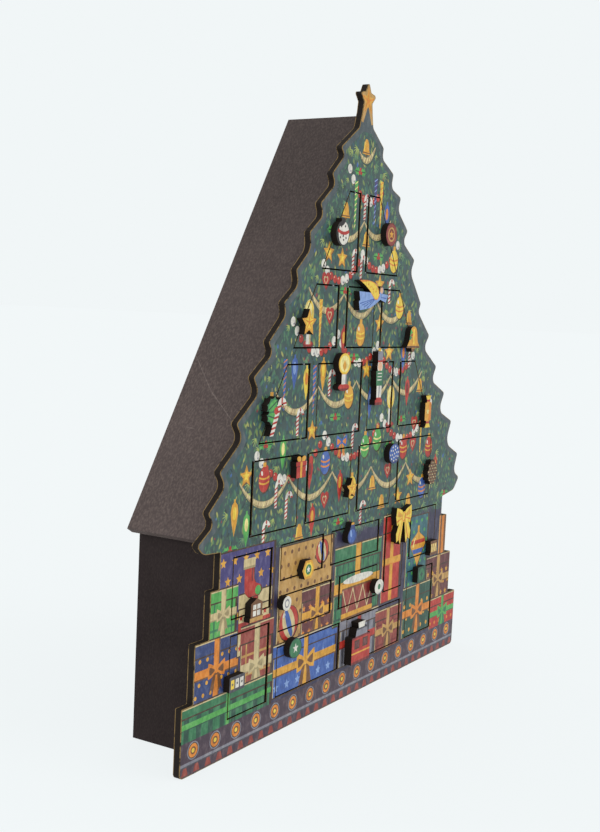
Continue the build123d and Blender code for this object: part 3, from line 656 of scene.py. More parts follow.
@dataclass(frozen=True)
class Oval(Mark):
    """An oval turned by some degrees; with few points it is a plain polygon."""

    x: float
    z: float
    width: float
    height: float
    turn: float = 0.0
    count: int = 22

    def outline(self, spot: Spot) -> Outline:
        """Draws the oval and turns it.

        Args:
            spot: where the mark is painted.

        Returns:
            The edge's points in millimetres.
        """
        x, z = spot.at(self.x, self.z)
        cosine, sine = math.cos(math.radians(self.turn)), math.sin(math.radians(self.turn))
        edge = around(self.count, self.width * spot.width / 2, self.height * spot.height / 2, 0.0)
        return [(x + a * cosine - b * sine, z + a * sine + b * cosine) for a, b in edge]


@dataclass(frozen=True)
class Bar(Mark):
    """An upright rectangle between two corners."""

    left: float
    low: float
    right: float
    high: float

    def outline(self, spot: Spot) -> Outline:
        """Gives the four corners."""
        (left, low), (right, high) = spot.at(self.left, self.low), spot.at(self.right, self.high)
        return [(left, low), (right, low), (right, high), (left, high)]


@dataclass(frozen=True)
class Star(Mark):
    """A star with one point upwards; its reach is a share of the spot's width, its notch one of the reach."""

    x: float
    z: float
    reach: float
    notch: float = 0.46
    points: int = 5

    def outline(self, spot: Spot) -> Outline:
        """Draws points and notches in turn.

        Args:
            spot: where the mark is painted.

        Returns:
            The edge's points in millimetres.
        """
        x, z = spot.at(self.x, self.z)
        reach = self.reach * spot.width
        tips = around(self.points, reach, reach)
        notches = around(self.points, self.notch * reach, self.notch * reach, 0.25 + 0.5 / self.points)
        return [(x + a, z + b) for pair in zip(tips, notches) for a, b in pair]


@dataclass(frozen=True)
class Shape(Mark):
    """A drawn edge, moved and sized by shares; a width below zero mirrors it."""

    edge: Iterable[Point]
    x: float = 0.0
    z: float = 0.0
    width: float = 1.0
    height: float = 1.0

    def outline(self, spot: Spot) -> Outline:
        """Places the edge's points, and keeps a mirrored edge counter-clockwise."""
        points = [spot.at(self.x + self.width * a, self.z + self.height * b) for a, b in self.edge]
        return points[::-1] if self.width < 0 else points


@dataclass(frozen=True)
class Brush(Mark):
    """A brush stroke along a line; its widths and its swell half-way are shares of the spot's width."""

    line: Iterable[Point]
    start: float
    end: float | None = None
    swell: float = 0.0

    def outline(self, spot: Spot) -> Outline:
        """Draws both sides of the stroke.

        Args:
            spot: where the mark is painted.

        Returns:
            The edge's points in millimetres.
        """
        line = [spot.at(*place) for place in self.line]
        end = self.start if self.end is None else self.end
        last = len(line) - 1
        left, right = [], []
        for k, (x, z) in enumerate(line):
            (x0, z0), (x1, z1) = line[max(k - 1, 0)], line[min(k + 1, last)]
            along = k / last
            width = self.start + (end - self.start) * along + 4 * self.swell * along * (1 - along)
            scale = width * spot.width / 2 / (math.hypot(x1 - x0, z1 - z0) or 1.0)
            across, up = (z0 - z1) * scale, (x1 - x0) * scale
            left.append((x + across, z + up))
            right.append((x - across, z - up))
        return right + left[::-1]


# Motifs, from their lowest mark upwards

Motif = tuple[Mark, ...]

LEAF_EDGE = ((-0.5, 0.0), (-0.3, -0.2), (-0.16, -0.5), (0.0, -0.28), (0.18, -0.44), (0.28, -0.16),
             (0.5, 0.0), (0.28, 0.16), (0.18, 0.44), (0.0, 0.28), (-0.16, 0.5), (-0.3, 0.2))
BELL_EDGE = ((-0.5, -0.36), (0.5, -0.36), (0.34, -0.1), (0.28, 0.24), (0.12, 0.46), (-0.12, 0.46),
             (-0.28, 0.24), (-0.34, -0.1))
HEART_EDGE = ((0.0, -0.5), (0.3, -0.16), (0.48, 0.12), (0.44, 0.38), (0.24, 0.5), (0.06, 0.42), (0.0, 0.28),
              (-0.06, 0.42), (-0.24, 0.5), (-0.44, 0.38), (-0.48, 0.12), (-0.3, -0.16))
LOOP_EDGE = ((0.0, -0.06), (0.26, -0.34), (0.46, -0.4), (0.5, 0.1), (0.46, 0.5), (0.22, 0.34), (0.0, 0.1))
TAIL_EDGE = ((0.02, 0.0), (0.16, -0.9), (0.3, -0.76), (0.42, -0.94), (0.18, -0.02))
FLAME_EDGE = ((0.0, -0.5), (0.36, -0.24), (0.42, 0.06), (0.14, 0.3), (0.0, 0.5), (-0.2, 0.26), (-0.42, 0.02),
              (-0.34, -0.28))
DROP_EDGE = ((0.0, -0.5), (0.3, -0.16), (0.46, 0.14), (0.34, 0.34), (0.1, 0.42), (0.1, 0.5), (-0.1, 0.5),
             (-0.1, 0.42), (-0.34, 0.34), (-0.46, 0.14), (-0.3, -0.16))
TOP_EDGE = ((0.0, -0.6), (0.2, -0.3), (0.5, 0.06), (0.44, 0.24), (0.14, 0.4), (0.06, 0.46), (0.06, 0.66),
            (-0.06, 0.66), (-0.06, 0.46), (-0.14, 0.4), (-0.44, 0.24), (-0.5, 0.06), (-0.2, -0.3))
LEG_EDGE = ((-0.2, 0.0), (-0.2, -0.62), (-0.17, -0.86), (0.0, -1.0), (0.44, -1.0), (0.58, -0.88),
            (0.52, -0.74), (0.3, -0.66), (0.22, -0.54), (0.2, 0.0))
WING_EDGE = ((-0.52, 0.48), (-0.2, 0.2), (-0.08, 0.04), (0.04, -0.13), (0.14, -0.12), (0.2, 0.02),
             (0.17, 0.2), (0.11, 0.34), (0.0, 0.46), (-0.2, 0.53))
STEM_EDGE = ((-0.32, -0.52), (-0.11, -0.52), (0.245, 0.28), (0.3, 0.24), (0.52, 0.24), (0.52, 0.52),
             (0.1, 0.52), (0.04, 0.3))
CANE_LINE = ((-0.359, -0.5), (-0.359, 0.0),
             *((0.359 * math.cos(angle), 0.245 + 0.17 * math.sin(angle))
               for angle in (math.pi * (1 - k / 7) for k in range(8))))
# Half the width and the height of each twist of an icicle
ICICLE_TWISTS = [(0.45 - 0.3375 * down, 0.5 - down) for down in ((k + 0.35) / 9 for k in range(9))]
# Middle, lean and half the vein of each holly leaf
HOLLY_LEAVES = ((-0.2, 0.27, 30, 0.2252, 0.1172), (-0.18, -0.03, -14, 0.2523, -0.0567))
# Middle of each scale of a pine cone, and whether its tip is dull
CONE_SCALES = [(0.26 * (k - (count - 1) / 2), 0.42 - 0.12 * row, bool((row + 2 * k) % 3))
               for row, count in enumerate((3, 4) * 4) for k in range(count)]

# Height of a five-pointed star as a share of its width
STAR_SHARE = math.cos(math.pi / 10)
# A bow's height as a share of its width, and the knot's place above the middle as a share of that height
BOW_SHARE = 15 / 16
KNOT_SHARE = 0.1
BOW = (
    *(Shape(Coat.SECOND, TAIL_EDGE, 0.0, KNOT_SHARE, 0.9 * side, 0.8533) for side in (1, -1)),
    *(mark for side in (1, -1) for mark in (
        Shape(Coat.MAIN, LOOP_EDGE, 0.0, KNOT_SHARE, side, 0.6613),
        Shape(Coat.SECOND, LOOP_EDGE, 0.1 * side, KNOT_SHARE, 0.62 * side, 0.32))),
    Oval(Coat.MAIN, 0.0, KNOT_SHARE, 0.2, 0.2347, count=12))
WHITE_BEAD = (
    Oval(Paint.UMBER, 0.0806, -0.0968, 1.0, 1.0, count=12),
    Oval(Paint.WHITE, 0.0, 0.0, 1.0, 1.1, count=12),
    Oval(Paint.GREY, 0.2, -0.24, 0.3, 0.26, count=8))
RED_BEAD = (
    Oval(Paint.UMBER, 0.0806, -0.0968, 1.0, 1.0, count=12),
    Oval(Paint.RED, 0.0, 0.0, 0.9, 0.9, count=12),
    Oval(Paint.SKIN, -0.16, 0.2, 0.26, 0.2, count=6))
TREE_STAR = (
    *(Brush(Paint.TAN, ((0.125 * side, 0.0), (0.3958 * side, -0.8073)), 0.3646, 0.1562) for side in (-1, 1)),
    Star(Paint.GOLD, 0.0, 0.0, 0.5, 0.44),
    *(Brush(Paint.ORANGE, ((0.0, 0.0), tip), 0.0677, 0.0312) for tip in around(5, 0.5, 0.5)))
AMBER_RING = (
    Oval(Paint.GREY, 0.0, 0.0, 1.0, 1.0),
    Oval(Paint.UMBER, 0.0, 0.0, 0.8667, 0.8621),
    Oval(Paint.ORANGE, 0.0, 0.0, 0.7667, 0.7586),
    Oval(Paint.BROWN, 0.0, 0.0, 0.45, 0.431),
    Oval(Paint.YELLOW, 0.0, 0.0, 0.2667, 0.2586, count=10))
TONGUE = (Shape(Paint.BRICK, ((-0.5, -0.5), (0.5, -0.5), (0.235, 0.5), (-0.235, 0.5))),)
BALL_SHADE = (Oval(Paint.UMBER, 0.0, 0.0, 1.0, 1.0),)
BALL = (
    Oval(Paint.RED, 0.0, 0.0, 1.0, 1.0),
    Oval(Paint.CREAM, 0.0, 0.0, 0.62, 0.98, 24),
    Oval(Paint.BLUE, 0.0, 0.0, 0.24, 0.96, 24),
    Oval(Paint.WHITE, -0.26, 0.26, 0.16, 0.12, 40, 10))
DRUM = (
    Bar(Paint.UMBER, -0.5217, -0.537, 0.5217, 0.537),
    Bar(Paint.BRICK, -0.5, -0.5, 0.5, 0.5),
    Bar(Paint.DEEP_RED, 0.3, -0.5, 0.5, 0.5),
    *(Brush(Paint.CREAM, run, 0.0261) for run in zigzag(-0.5, 1 / 6, 0.32)),
    *(mark for z in (-0.42, 0.42) for mark in (
        Bar(Paint.GOLD, -0.5217, z - 0.09, 0.5217, z + 0.09),
        Bar(Paint.BROWN, -0.5217, z - 0.09, 0.5217, z - 0.04))),
    Oval(Paint.WHITE, 0.0, 0.56, 1.0, 0.22))
SPINNING_TOP = (
    Shape(Paint.UMBER, TOP_EDGE, 0.0185, -0.0185, 1.06, 1.04),
    Shape(Paint.GOLD, TOP_EDGE),
    Shape(Paint.RED, ((-0.47, 0.1), (0.47, 0.1), (0.44, 0.22), (-0.44, 0.22))),
    Shape(Paint.BLUE, ((-0.28, -0.2), (0.28, -0.2), (0.38, -0.06), (-0.38, -0.06))),
    Brush(Paint.GLOW, ((-0.2, 0.3), (-0.34, 0.02)), 0.05))
# The stocking hangs from the middle of its spot
STOCKING = (
    Shape(Paint.UMBER, LEG_EDGE, 0.0192, -0.0192, 1.06),
    Shape(Paint.RED, LEG_EDGE),
    Brush(Paint.DEEP_RED, ((0.13, 0.0), (0.15, -0.6)), 0.07),
    Oval(Paint.LEAF, 0.42, -0.87, 0.26, 0.24),
    Bar(Paint.CREAM, -0.26, -0.26, 0.26, 0.0),
    Bar(Paint.STRAW, -0.26, -0.26, 0.26, -0.2))


@dataclass(frozen=True)
class Ornament:
    """Something that hangs on the tree: width and height in millimetres, share of chances and marks."""

    width: float
    height: float
    chances: int
    marks: Motif


class Hang(Enum):
    """What hangs on the tree."""

    BAUBLE = Ornament(13.0, 23.0, 26, (
        Bar(Paint.STRAW, -0.0308, 0.3824, 0.0308, 0.5),
        Bar(Paint.GOLD, -0.14, 0.2294, 0.14, 0.3824),
        Oval(Paint.UMBER, 0.05, -0.1324, 1.06, 0.7647),
        Oval(Coat.MAIN, 0.0, -0.1029, 1.0, 0.7353),
        *(Brush(Coat.SECOND, hanging((-0.46, z), (0.46, z), 0.0588, 6), 0.0911) for z in (-0.1765, -0.0294)),
        Oval(Paint.WHITE, -0.22, 0.0809, 0.16, 0.1471, 20, 10)))
    CANDLE = Ornament(14.0, 31.0, 14, (
        Oval(Paint.DEEP_RED, 0.0, -0.48, 0.9676, 0.16),
        Oval(Paint.RED, 0.0, -0.46, 0.7994, 0.1),
        Bar(Paint.WHITE, -0.2104, -0.48, 0.2104, -0.06),
        Bar(Paint.CREAM, 0.0757, -0.48, 0.2104, -0.06),
        Oval(Paint.CREAM, 0.0, 0.2, 0.9079, 0.6),
        Oval(Paint.YELLOW, 0.0, 0.2, 0.8193, 0.55),
        Oval(Paint.GLOW, -0.0443, 0.22, 0.62, 0.44),
        Shape(Paint.GOLD, FLAME_EDGE, 0.0, 0.14, 0.2879, 0.3)))
    DROP = Ornament(9.0, 24.0, 13, (
        Shape(Coat.MAIN, DROP_EDGE),
        Oval(Coat.SECOND, 0.0, 0.12, 0.44, 0.36)))
    ICICLE = Ornament(5.0, 34.0, 13, (
        Brush(Coat.MAIN, ((0.0, 0.5), (0.0, -0.5)), 0.9, 0.225),
        *(Brush(Coat.SECOND, ((-half, z - 0.0333), (half, z + 0.0333)), 0.1511)
          for half, z in ICICLE_TWISTS)))
    BELL = Ornament(13.0, 13.0, 6, (
        Oval(Paint.BROWN, 0.0, -0.38, 0.26, 0.24, count=12),
        Shape(Paint.GOLD, BELL_EDGE, width=0.9),
        Brush(Paint.YELLOW, ((-0.2, 0.3), (-0.26, -0.2)), 0.1),
        Bar(Paint.BROWN, -0.4, -0.3, 0.4, -0.24)))
    STAR = Ornament(15.0, 14.5, 8, (
        Star(Paint.BROWN, 0.04, -0.0552, 0.5),
        Star(Paint.GOLD, 0.0, 0.0, 0.5),
        Star(Paint.YELLOW, 0.0, 0.0, 0.26)))
    HEART = Ornament(12.0, 12.5, 6, (
        Shape(Paint.DEEP_RED, HEART_EDGE, 0.05, -0.048),
        *(Shape(paint, HEART_EDGE, 0.0, 0.0, size, size)
          for paint, size in ((Paint.RED, 0.94), (Paint.CREAM, 0.5), (Paint.RED, 0.34)))))
    CANE = Ornament(9.0, 19.0, 8, (
        Brush(Paint.DEEP_RED, [(x + 0.0444, z - 0.0158) for x, z in CANE_LINE], 0.3589),
        Brush(Paint.WHITE, CANE_LINE, 0.3167),
        *(Brush(Paint.RED, ((-0.5172, 0.15 * k - 0.465), (-0.2006, 0.15 * k - 0.385)), 0.1267)
          for k in range(5)),
        Oval(Paint.RED, 0.0, 0.4235, 0.2111, 0.14, count=8),
        Oval(Paint.RED, 0.3589, 0.262, 0.3167, 0.07, count=8)))
    BOW = Ornament(16.0, 16.0 * BOW_SHARE, 5, BOW)
    HOLLY = Ornament(16.0, 8.0, 7, (
        *(mark for side in (1, -1) for mark in (
            Shape(Paint.LEAF, LEAF_EDGE, 0.27 * side, 0.0, 0.56 * side, 0.8),
            Brush(Paint.PINE, ((0.0, 0.0), (0.48 * side, 0.0)), 0.05))),
        *(Oval(Paint.RED, x, z, 0.17, 0.34, count=10) for x, z in around(3, 0.1, 0.2))))


@dataclass(frozen=True)
class Face:
    """The painted face of a knob: the paint all over it and the marks on that."""

    ground: Paint
    marks: Motif


class KnobFace(Enum):
    """The knobs' faces, named as the knobs are."""

    # Black ball with a white belly, dark spots and a red band
    SNOWBALL = Face(Paint.BLACK, (
        Oval(Paint.WHITE, 0.06, -0.04, 0.8, 0.84),
        Oval(Paint.BLACK, -0.1, 0.32, 0.5, 0.2, 20),
        Brush(Paint.RED, hanging((-0.4, 0.06), (0.46, 0.06), 0.1, 8), 0.1266),
        *(Oval(Paint.BLACK, x, z, 0.1, 0.09, count=8)
          for x, z in ((-0.14, 0.2), (0.16, 0.22), (0.02, -0.14), (0.06, -0.28), (-0.2, -0.2),
                       (0.24, -0.2)))))
    # Brick-red disc with a tan ring and a gold star
    RED_BAUBLE = Face(Paint.DEEP_RED, (
        Oval(Paint.BRICK, 0.0, 0.0, 0.9, 0.9),
        Oval(Paint.TAN, 0.0, 0.0, 0.62, 0.64),
        Oval(Paint.DEEP_RED, 0.0, 0.0, 0.46, 0.48),
        Star(Paint.GOLD, 0.0, 0.0, 0.2)))
    # Gold stars with brighter folds
    GOLD_STAR = Face(Paint.GOLD, (
        Star(Paint.YELLOW, 0.0, -0.03, 0.42, 0.42),
        *(Brush(Paint.ORANGE, ((0.0, -0.03), (x, z - 0.03)), 0.06, 0.03)
          for x, z in around(5, 0.42, 0.42 / STAR_SHARE))))
    SMALL_STAR = GOLD_STAR
    # Light blue dress with soft folds, yellow wing and a plain head
    ANGEL = Face(Paint.SKY, (
        *(Brush(Paint.BLUE, ((0.08 * k - 0.47, -0.05 * k - 0.28), (0.1, -0.06)), 0.0176, 0.01)
          for k in range(4)),
        Brush(Paint.BLUE, ((0.26, -0.04), (0.45, -0.06)), 0.0151),
        Shape(Paint.ORANGE, WING_EDGE),
        Shape(Paint.YELLOW, WING_EDGE, 0.01, 0.012, 0.84, 0.86),
        *(Oval(Paint.ORANGE, 0.06 - 0.09 * k, 0.14 + 0.075 * k, 0.045, 0.05, 30, 8) for k in range(4)),
        Oval(Paint.BROWN, 0.245, 0.24, 0.1305, 0.24),
        Oval(Paint.SKIN, 0.27, 0.19, 0.1004, 0.2)))
    # Gold bell with a green sprig at its left
    BELL = Face(Paint.GOLD, (
        Bar(Paint.BROWN, -1.0, -0.34, 1.0, -0.26),
        Brush(Paint.YELLOW, ((0.02, 0.4), (0.04, -0.2)), 0.12),
        Bar(Paint.BROWN, -1.0, -1.0, 1.0, -0.36),
        Shape(Paint.LEAF, LEAF_EDGE, -0.24, 0.26, 0.36, 0.3),
        Shape(Paint.GREEN, LEAF_EDGE, -0.26, 0.06, 0.3, 0.24),
        Oval(Paint.RED, -0.14, 0.16, 0.11, 0.1265, count=10)))
    # Green leaves with veins, a red berry and a white cane with red stripes
    HOLLY = Face(Paint.GREEN, (
        *(mark for x, z, lean, across, up in HOLLY_LEAVES for mark in (
            Oval(Paint.LEAF, x, z, 0.46, 0.24, lean),
            Brush(Paint.PINE, ((x - across, z - up), (x + across, z + up)), 0.04))),
        Shape(Paint.WHITE, STEM_EDGE),
        *(Brush(Paint.RED, ((x - 0.12, z - 0.01), (x + 0.12, z + 0.03)), 0.061)
          for x, z in ((0.36 * up - 0.2, 0.8 * up - 0.5) for up in ((k + 0.4) / 6 for k in range(6)))),
        Brush(Paint.RED, ((0.26, 0.3), (0.26, 0.5)), 0.07),
        Brush(Paint.RED, ((0.3, 0.3), (0.5, 0.32)), 0.0554),
        Oval(Paint.RED, -0.02, 0.13, 0.2107, 0.19, count=14)))
    # Pale glow with a flame, white stem and red clip
    CANDLE = Face(Paint.GOLD, (
        Bar(Paint.WHITE, -0.21, -0.5, 0.21, -0.06),
        Bar(Paint.GREY, 0.1, -0.5, 0.21, -0.06),
        Bar(Paint.RED, -1.0, -0.52, 1.0, -0.32),
        Bar(Paint.DEEP_RED, -1.0, -0.52, 1.0, -0.43),
        Oval(Paint.YELLOW, 0.0, 0.22, 0.94, 0.53),
        Oval(Paint.GLOW, 0.0, 0.22, 0.78, 0.44),
        Shape(Paint.GOLD, FLAME_EDGE, 0.0, 0.18, 0.36, 0.3)))
    # Plain toy figure: grey hat, green coat with white braid, white trousers and a red plinth
    SOLDIER = Face(Paint.WHITE, (
        Bar(Paint.GREY, -1.0, 0.32, 1.0, 1.0),
        Bar(Paint.RED, -1.0, 0.3, 1.0, 0.335),
        Oval(Paint.SKIN, 0.0, 0.22, 0.6, 0.17),
        Bar(Paint.GREEN, -1.0, -0.14, 1.0, 0.14),
        *(Bar(Paint.WHITE, -0.3, z, 0.3, z + 0.02) for z in (0.08, 0.02, -0.04)),
        Bar(Paint.WHITE, -1.0, -0.36, 1.0, -0.14),
        Bar(Paint.GREY, -0.06, -0.36, 0.06, -0.14),
        Bar(Paint.RED, -1.0, -1.0, 1.0, -0.36),
        Bar(Paint.DEEP_RED, -1.0, -1.0, 1.0, -0.45)))
    # Amber barrel between yellow frills
    CRACKER = Face(Paint.GOLD, (
        Bar(Paint.YELLOW, -1.0, 0.38, 1.0, 1.0),
        Bar(Paint.YELLOW, -1.0, -1.0, 1.0, -0.38),
        *(Bar(Paint.RED, -1.0, z - 0.03, 1.0, z + 0.03) for z in (-0.34, 0.34)),
        Bar(Paint.ORANGE, 0.1, -0.28, 1.0, 0.28),
        Star(Paint.GLOW, -0.05, 0.0, 0.26)))
    # Red parcel with a dark lid line and gold ribbon
    PARCEL = Face(Paint.RED, (
        Bar(Paint.DEEP_RED, -1.0, 0.0, 1.0, 0.05),
        Bar(Paint.GOLD, -0.1, -1.0, 0.1, 0.24),
        Bar(Paint.GOLD, -1.0, 0.26, 1.0, 1.0),
        Bar(Paint.BROWN, -0.04, 0.26, 0.04, 1.0)))
    # Navy ball with a blue side and rings of white dots
    BLUE_BAUBLE = Face(Paint.NAVY, (
        Oval(Paint.BLUE, -0.04, 0.05, 0.84, 0.8),
        *(Oval(Paint.WHITE, x, z, 0.09, 0.1, count=8)
          for dots, reach in ((1, 0.0), (6, 0.2), (10, 0.36))
          for x, z in around(dots, reach, reach, 0.25 / dots))))
    # Brown cone with rows of dark-rimmed scales and pale tips
    PINE_CONE = Face(Paint.UMBER, tuple(
        mark for x, z, painted_shade in CONE_SCALES for mark in (
            Oval(Paint.UMBER, x, z - 0.02, 0.27, 0.17, count=12),
            Oval(Paint.BROWN, x, z, 0.23, 0.12, count=12),
            Oval(Paint.STRAW if painted_shade else Paint.CREAM, x, z - 0.03, 0.16, 0.05, count=8))))
    # Brown frame, white panes and a tan sill
    WINDOW = Face(Paint.BROWN, (
        Bar(Paint.TAN, -1.0, -1.0, 1.0, -0.32),
        Bar(Paint.WHITE, -0.28, -0.26, 0.28, 0.24),
        Bar(Paint.BROWN, -0.04, -0.26, 0.04, 0.24),
        Bar(Paint.BROWN, -0.28, -0.03, 0.28, 0.03)))
    # Grey block with a star on each of three yellow and white panels
    BLOCK = Face(Paint.DARK_GREY, tuple(
        mark for x, paint in ((-0.3, Paint.YELLOW), (0.0, Paint.WHITE), (0.3, Paint.WHITE)) for mark in (
            Bar(paint, x - 0.11, -0.3, x + 0.11, 0.3),
            Star(Paint.DARK_GREY, x, 0.0, 0.08))))
    # Yellow lantern with a white star on green
    LANTERN = Face(Paint.GOLD, (
        Oval(Paint.YELLOW, 0.0, 0.0, 0.76, 0.84, count=6),
        Oval(Paint.GREEN, 0.0, 0.0, 0.46, 0.56),
        Star(Paint.WHITE, 0.0, 0.0, 0.1625)))
    # White disc with a grey ring
    POMPOM = Face(Paint.WHITE, (
        Oval(Paint.GREY, 0.0, 0.0, 0.56, 0.62),
        Oval(Paint.WHITE, 0.0, 0.0, 0.36, 0.4)))
    # Green ball with a white star
    GREEN_BAUBLE = Face(Paint.PINE, (
        Oval(Paint.GREEN, 0.0, 0.0, 0.9, 0.9),
        Star(Paint.WHITE, 0.0, 0.0, 0.2362, 0.4)))
    # Blue drop with a light side
    DROP = Face(Paint.NAVY, (
        Oval(Paint.BLUE, -0.04, -0.12, 0.8, 0.62),
        Oval(Paint.SKY, -0.16, 0.0, 0.2, 0.36, 16),
        Bar(Paint.GOLD, -1.0, 0.4, 1.0, 1.0)))
    # White ball with a green dot
    WHITE_BALL = Face(Paint.WHITE, (
        Oval(Paint.GREY, 0.08, -0.08, 0.84, 0.82),
        Oval(Paint.WHITE, 0.0, 0.0, 0.86, 0.86),
        Oval(Paint.GREEN, 0.0, 0.0, 0.32, 0.38)))
    # Golden bow with darker folds
    BOW = Face(Paint.YELLOW, (
        *(mark for side in (-1, 1) for mark in (
            Brush(Paint.GOLD, ((0.08 * side, 0.24), (0.4 * side, 0.34)), 0.0556, 0.1778),
            Brush(Paint.ORANGE, ((0.1 * side, 0.12), (0.3 * side, -0.36)), 0.0222, 0.0667),
            Brush(Paint.ORANGE, ((0.1 * side, 0.2), (0.44 * side, 0.12)), 0.0333, 0.0556))),
        Oval(Paint.ORANGE, 0.0, 0.22, 0.24, 0.26),
        Oval(Paint.YELLOW, -0.02, 0.23, 0.16, 0.2)))
    # Red cab with dark windows, grey boiler and a pale chimney
    ENGINE_CAB = Face(Paint.RED, (
        Bar(Paint.GREY, -1.0, 0.16, 1.0, 0.36),
        Bar(Paint.WHITE, -1.0, 0.36, 1.0, 1.0),
        Bar(Paint.DARK_GREY, -1.0, 0.32, 1.0, 0.36),
        Bar(Paint.DEEP_RED, -1.0, 0.12, 1.0, 0.17),
        *(mark for x in (-0.22, 0.22) for mark in (
            Bar(Paint.UMBER, x - 0.14, -0.14, x + 0.14, 0.08),
            Bar(Paint.MAROON, x - 0.1, -0.11, x + 0.1, 0.05))),
        Bar(Paint.GOLD, -1.0, -0.26, 1.0, -0.22),
        Bar(Paint.DEEP_RED, -1.0, -1.0, 1.0, -0.44)))
    # Tan drum with a zigzag cord between brown rims
    DRUM = Face(Paint.TAN, (
        *(Bar(Paint.BROWN, -1.0, z - 0.1, 1.0, z + 0.1) for z in (-0.4, 0.4)),
        *(Brush(Paint.GLOW, run, 0.06) for run in zigzag(-0.4, 0.16, 0.28))))
    # Green block with a paler disc and a dark four-pointed star
    BUTTON = Face(Paint.PINE, (
        Oval(Paint.GREEN, 0.0, 0.0, 0.76, 0.76),
        Star(Paint.PINE, 0.0, 0.0, 0.24, 0.5, 4)))


# Pictures

@dataclass
class Picture:
    """Painted shapes from the ground upwards, each with its paint."""

    shapes: list[tuple[Paint, Outline]] = field(default_factory=list)

    def add(self, marks: Iterable[Mark], spot: Spot = SHEET, coats: tuple[Paint, ...] = ()) -> None:
        """Paints marks over those before them.

        Args:
            marks: the marks, from the lowest upwards.
            spot: where they go; without one, their places are millimetres of the whole sheet.
            coats: paints of the main and the second coat, if the marks have such coats.
        """
        for mark in marks:
            paint = coats[mark.paint.value] if isinstance(mark.paint, Coat) else mark.paint
            self.shapes.append((paint, mark.outline(spot)))


class Pattern(Enum):
    """How a parcel's paper is printed."""

    PLAIN = 0
    DOTS = 1
    STRIPES = 2
    CHECKS = 3
    STARS = 4


@dataclass(frozen=True)
class Parcel:
    """A painted parcel: its corners, paper and print, ribbon, step of the print and width of the bow."""

    left: float
    low: float
    right: float
    high: float
    paper: Paint
    mark: Paint
    pattern: Pattern
    ribbon: Paint | None = None
    fold: Paint = Paint.UMBER
    step: float = 11.0
    bow: float = 0.0
    rim: float = 1.0
    shade: float = 1.6
    light: float = 0.7
    crest: float = 0.8
    check: float = 1.6
    band_least: float = 1.5
    # Shares of a step for stripes, stagger, dots and stars, and of the parcel for lid, ribbon and its level
    stripe_share: float = 0.2
    stagger: float = 0.22
    dot_share: float = 0.34
    star_share: float = 0.272
    lid_share: float = 0.17
    band_share: float = 0.13
    level_share: float = 0.46
    # Where the folds of the upright and the level ribbon start, as shares of its width from its middle
    fold_shares: Point = (0.32, 0.34)

    def paint(self, picture: Picture) -> None:
        """Paints the paper and its print, and ties the parcel if it has a ribbon.

        Args:
            picture: picture to paint on.
        """
        left, low, right, high, rim = self.left, self.low, self.right, self.high, self.rim
        picture.add((
            Bar(Paint.UMBER, left - rim, low - rim, right + rim, high + rim),
            Bar(self.paper, left, low, right, high),
            *self.print_marks(),
            Bar(Paint.UMBER, right - self.shade, low, right, high),
            Bar(Paint.CREAM, left, low, left + self.light, high)))
        if self.ribbon:
            self.tie(picture)

    def print_marks(self) -> list[Mark]:
        """Gives the marks that the paper is printed with.

        Returns:
            The marks, in millimetres of the sheet.
        """
        width, height = self.right - self.left, self.high - self.low
        columns, rows = (max(1, round(side / self.step)) for side in (width, height))
        across = [self.left + width * (k + 0.5) / columns for k in range(columns)]
        up = [self.low + height * (k + 0.5) / rows for k in range(rows)]
        if self.pattern is Pattern.PLAIN:
            return []
        if self.pattern in (Pattern.STRIPES, Pattern.CHECKS):
            striped = self.pattern is Pattern.STRIPES
            half = self.stripe_share * width / columns if striped else self.check / 2
            bars = [Bar(self.mark, x - half, self.low, x + half, self.high) for x in across]
            if striped:
                return bars
            return bars + [Bar(self.mark, self.left, z - half, self.right, z + half) for z in up]
        shift = self.stagger * width / columns
        places = [(x + (shift if row % 2 else -shift), z) for row, z in enumerate(up) for x in across]
        if self.pattern is Pattern.DOTS:
            size = self.dot_share * self.step
            return [Oval(self.mark, x, z, size, size, count=12) for x, z in places]
        return [Star(self.mark, x, z, self.star_share * self.step) for x, z in places]

    def tie(self, picture: Picture) -> None:
        """Paints the lid, the crossed ribbon and the bow.

        Args:
            picture: picture to paint on.
        """
        left, low, right, high, rim = self.left, self.low, self.right, self.high, self.rim
        width, height, middle = right - left, high - low, (left + right) / 2
        lid = high - self.lid_share * height - 2 * rim
        level = low + self.level_share * height
        band = self.band_share * min(width, height) + self.band_least
        upright, flat = (share * band for share in self.fold_shares)
        picture.add((
            Bar(Paint.UMBER, left - rim, lid - rim, right + rim, lid),
            Bar(self.paper, left - rim, lid, right + rim, high),
            Bar(Paint.CREAM, left - rim, high - self.crest, right + rim, high),
            Bar(self.ribbon, middle - band / 2, low, middle + band / 2, high),
            Bar(self.fold, middle + upright, low, middle + band / 2, high),
            Bar(self.ribbon, left, level - band / 2, right, level + band / 2),
            Bar(self.fold, left, level - band / 2, right, level - flat)))
        if self.bow:
            tall = BOW_SHARE * self.bow
            spot = Spot(middle, level - KNOT_SHARE * tall, self.bow, tall)
            picture.add(BOW, spot, (self.ribbon, self.fold))


# Paint films on the fronts of the nodes

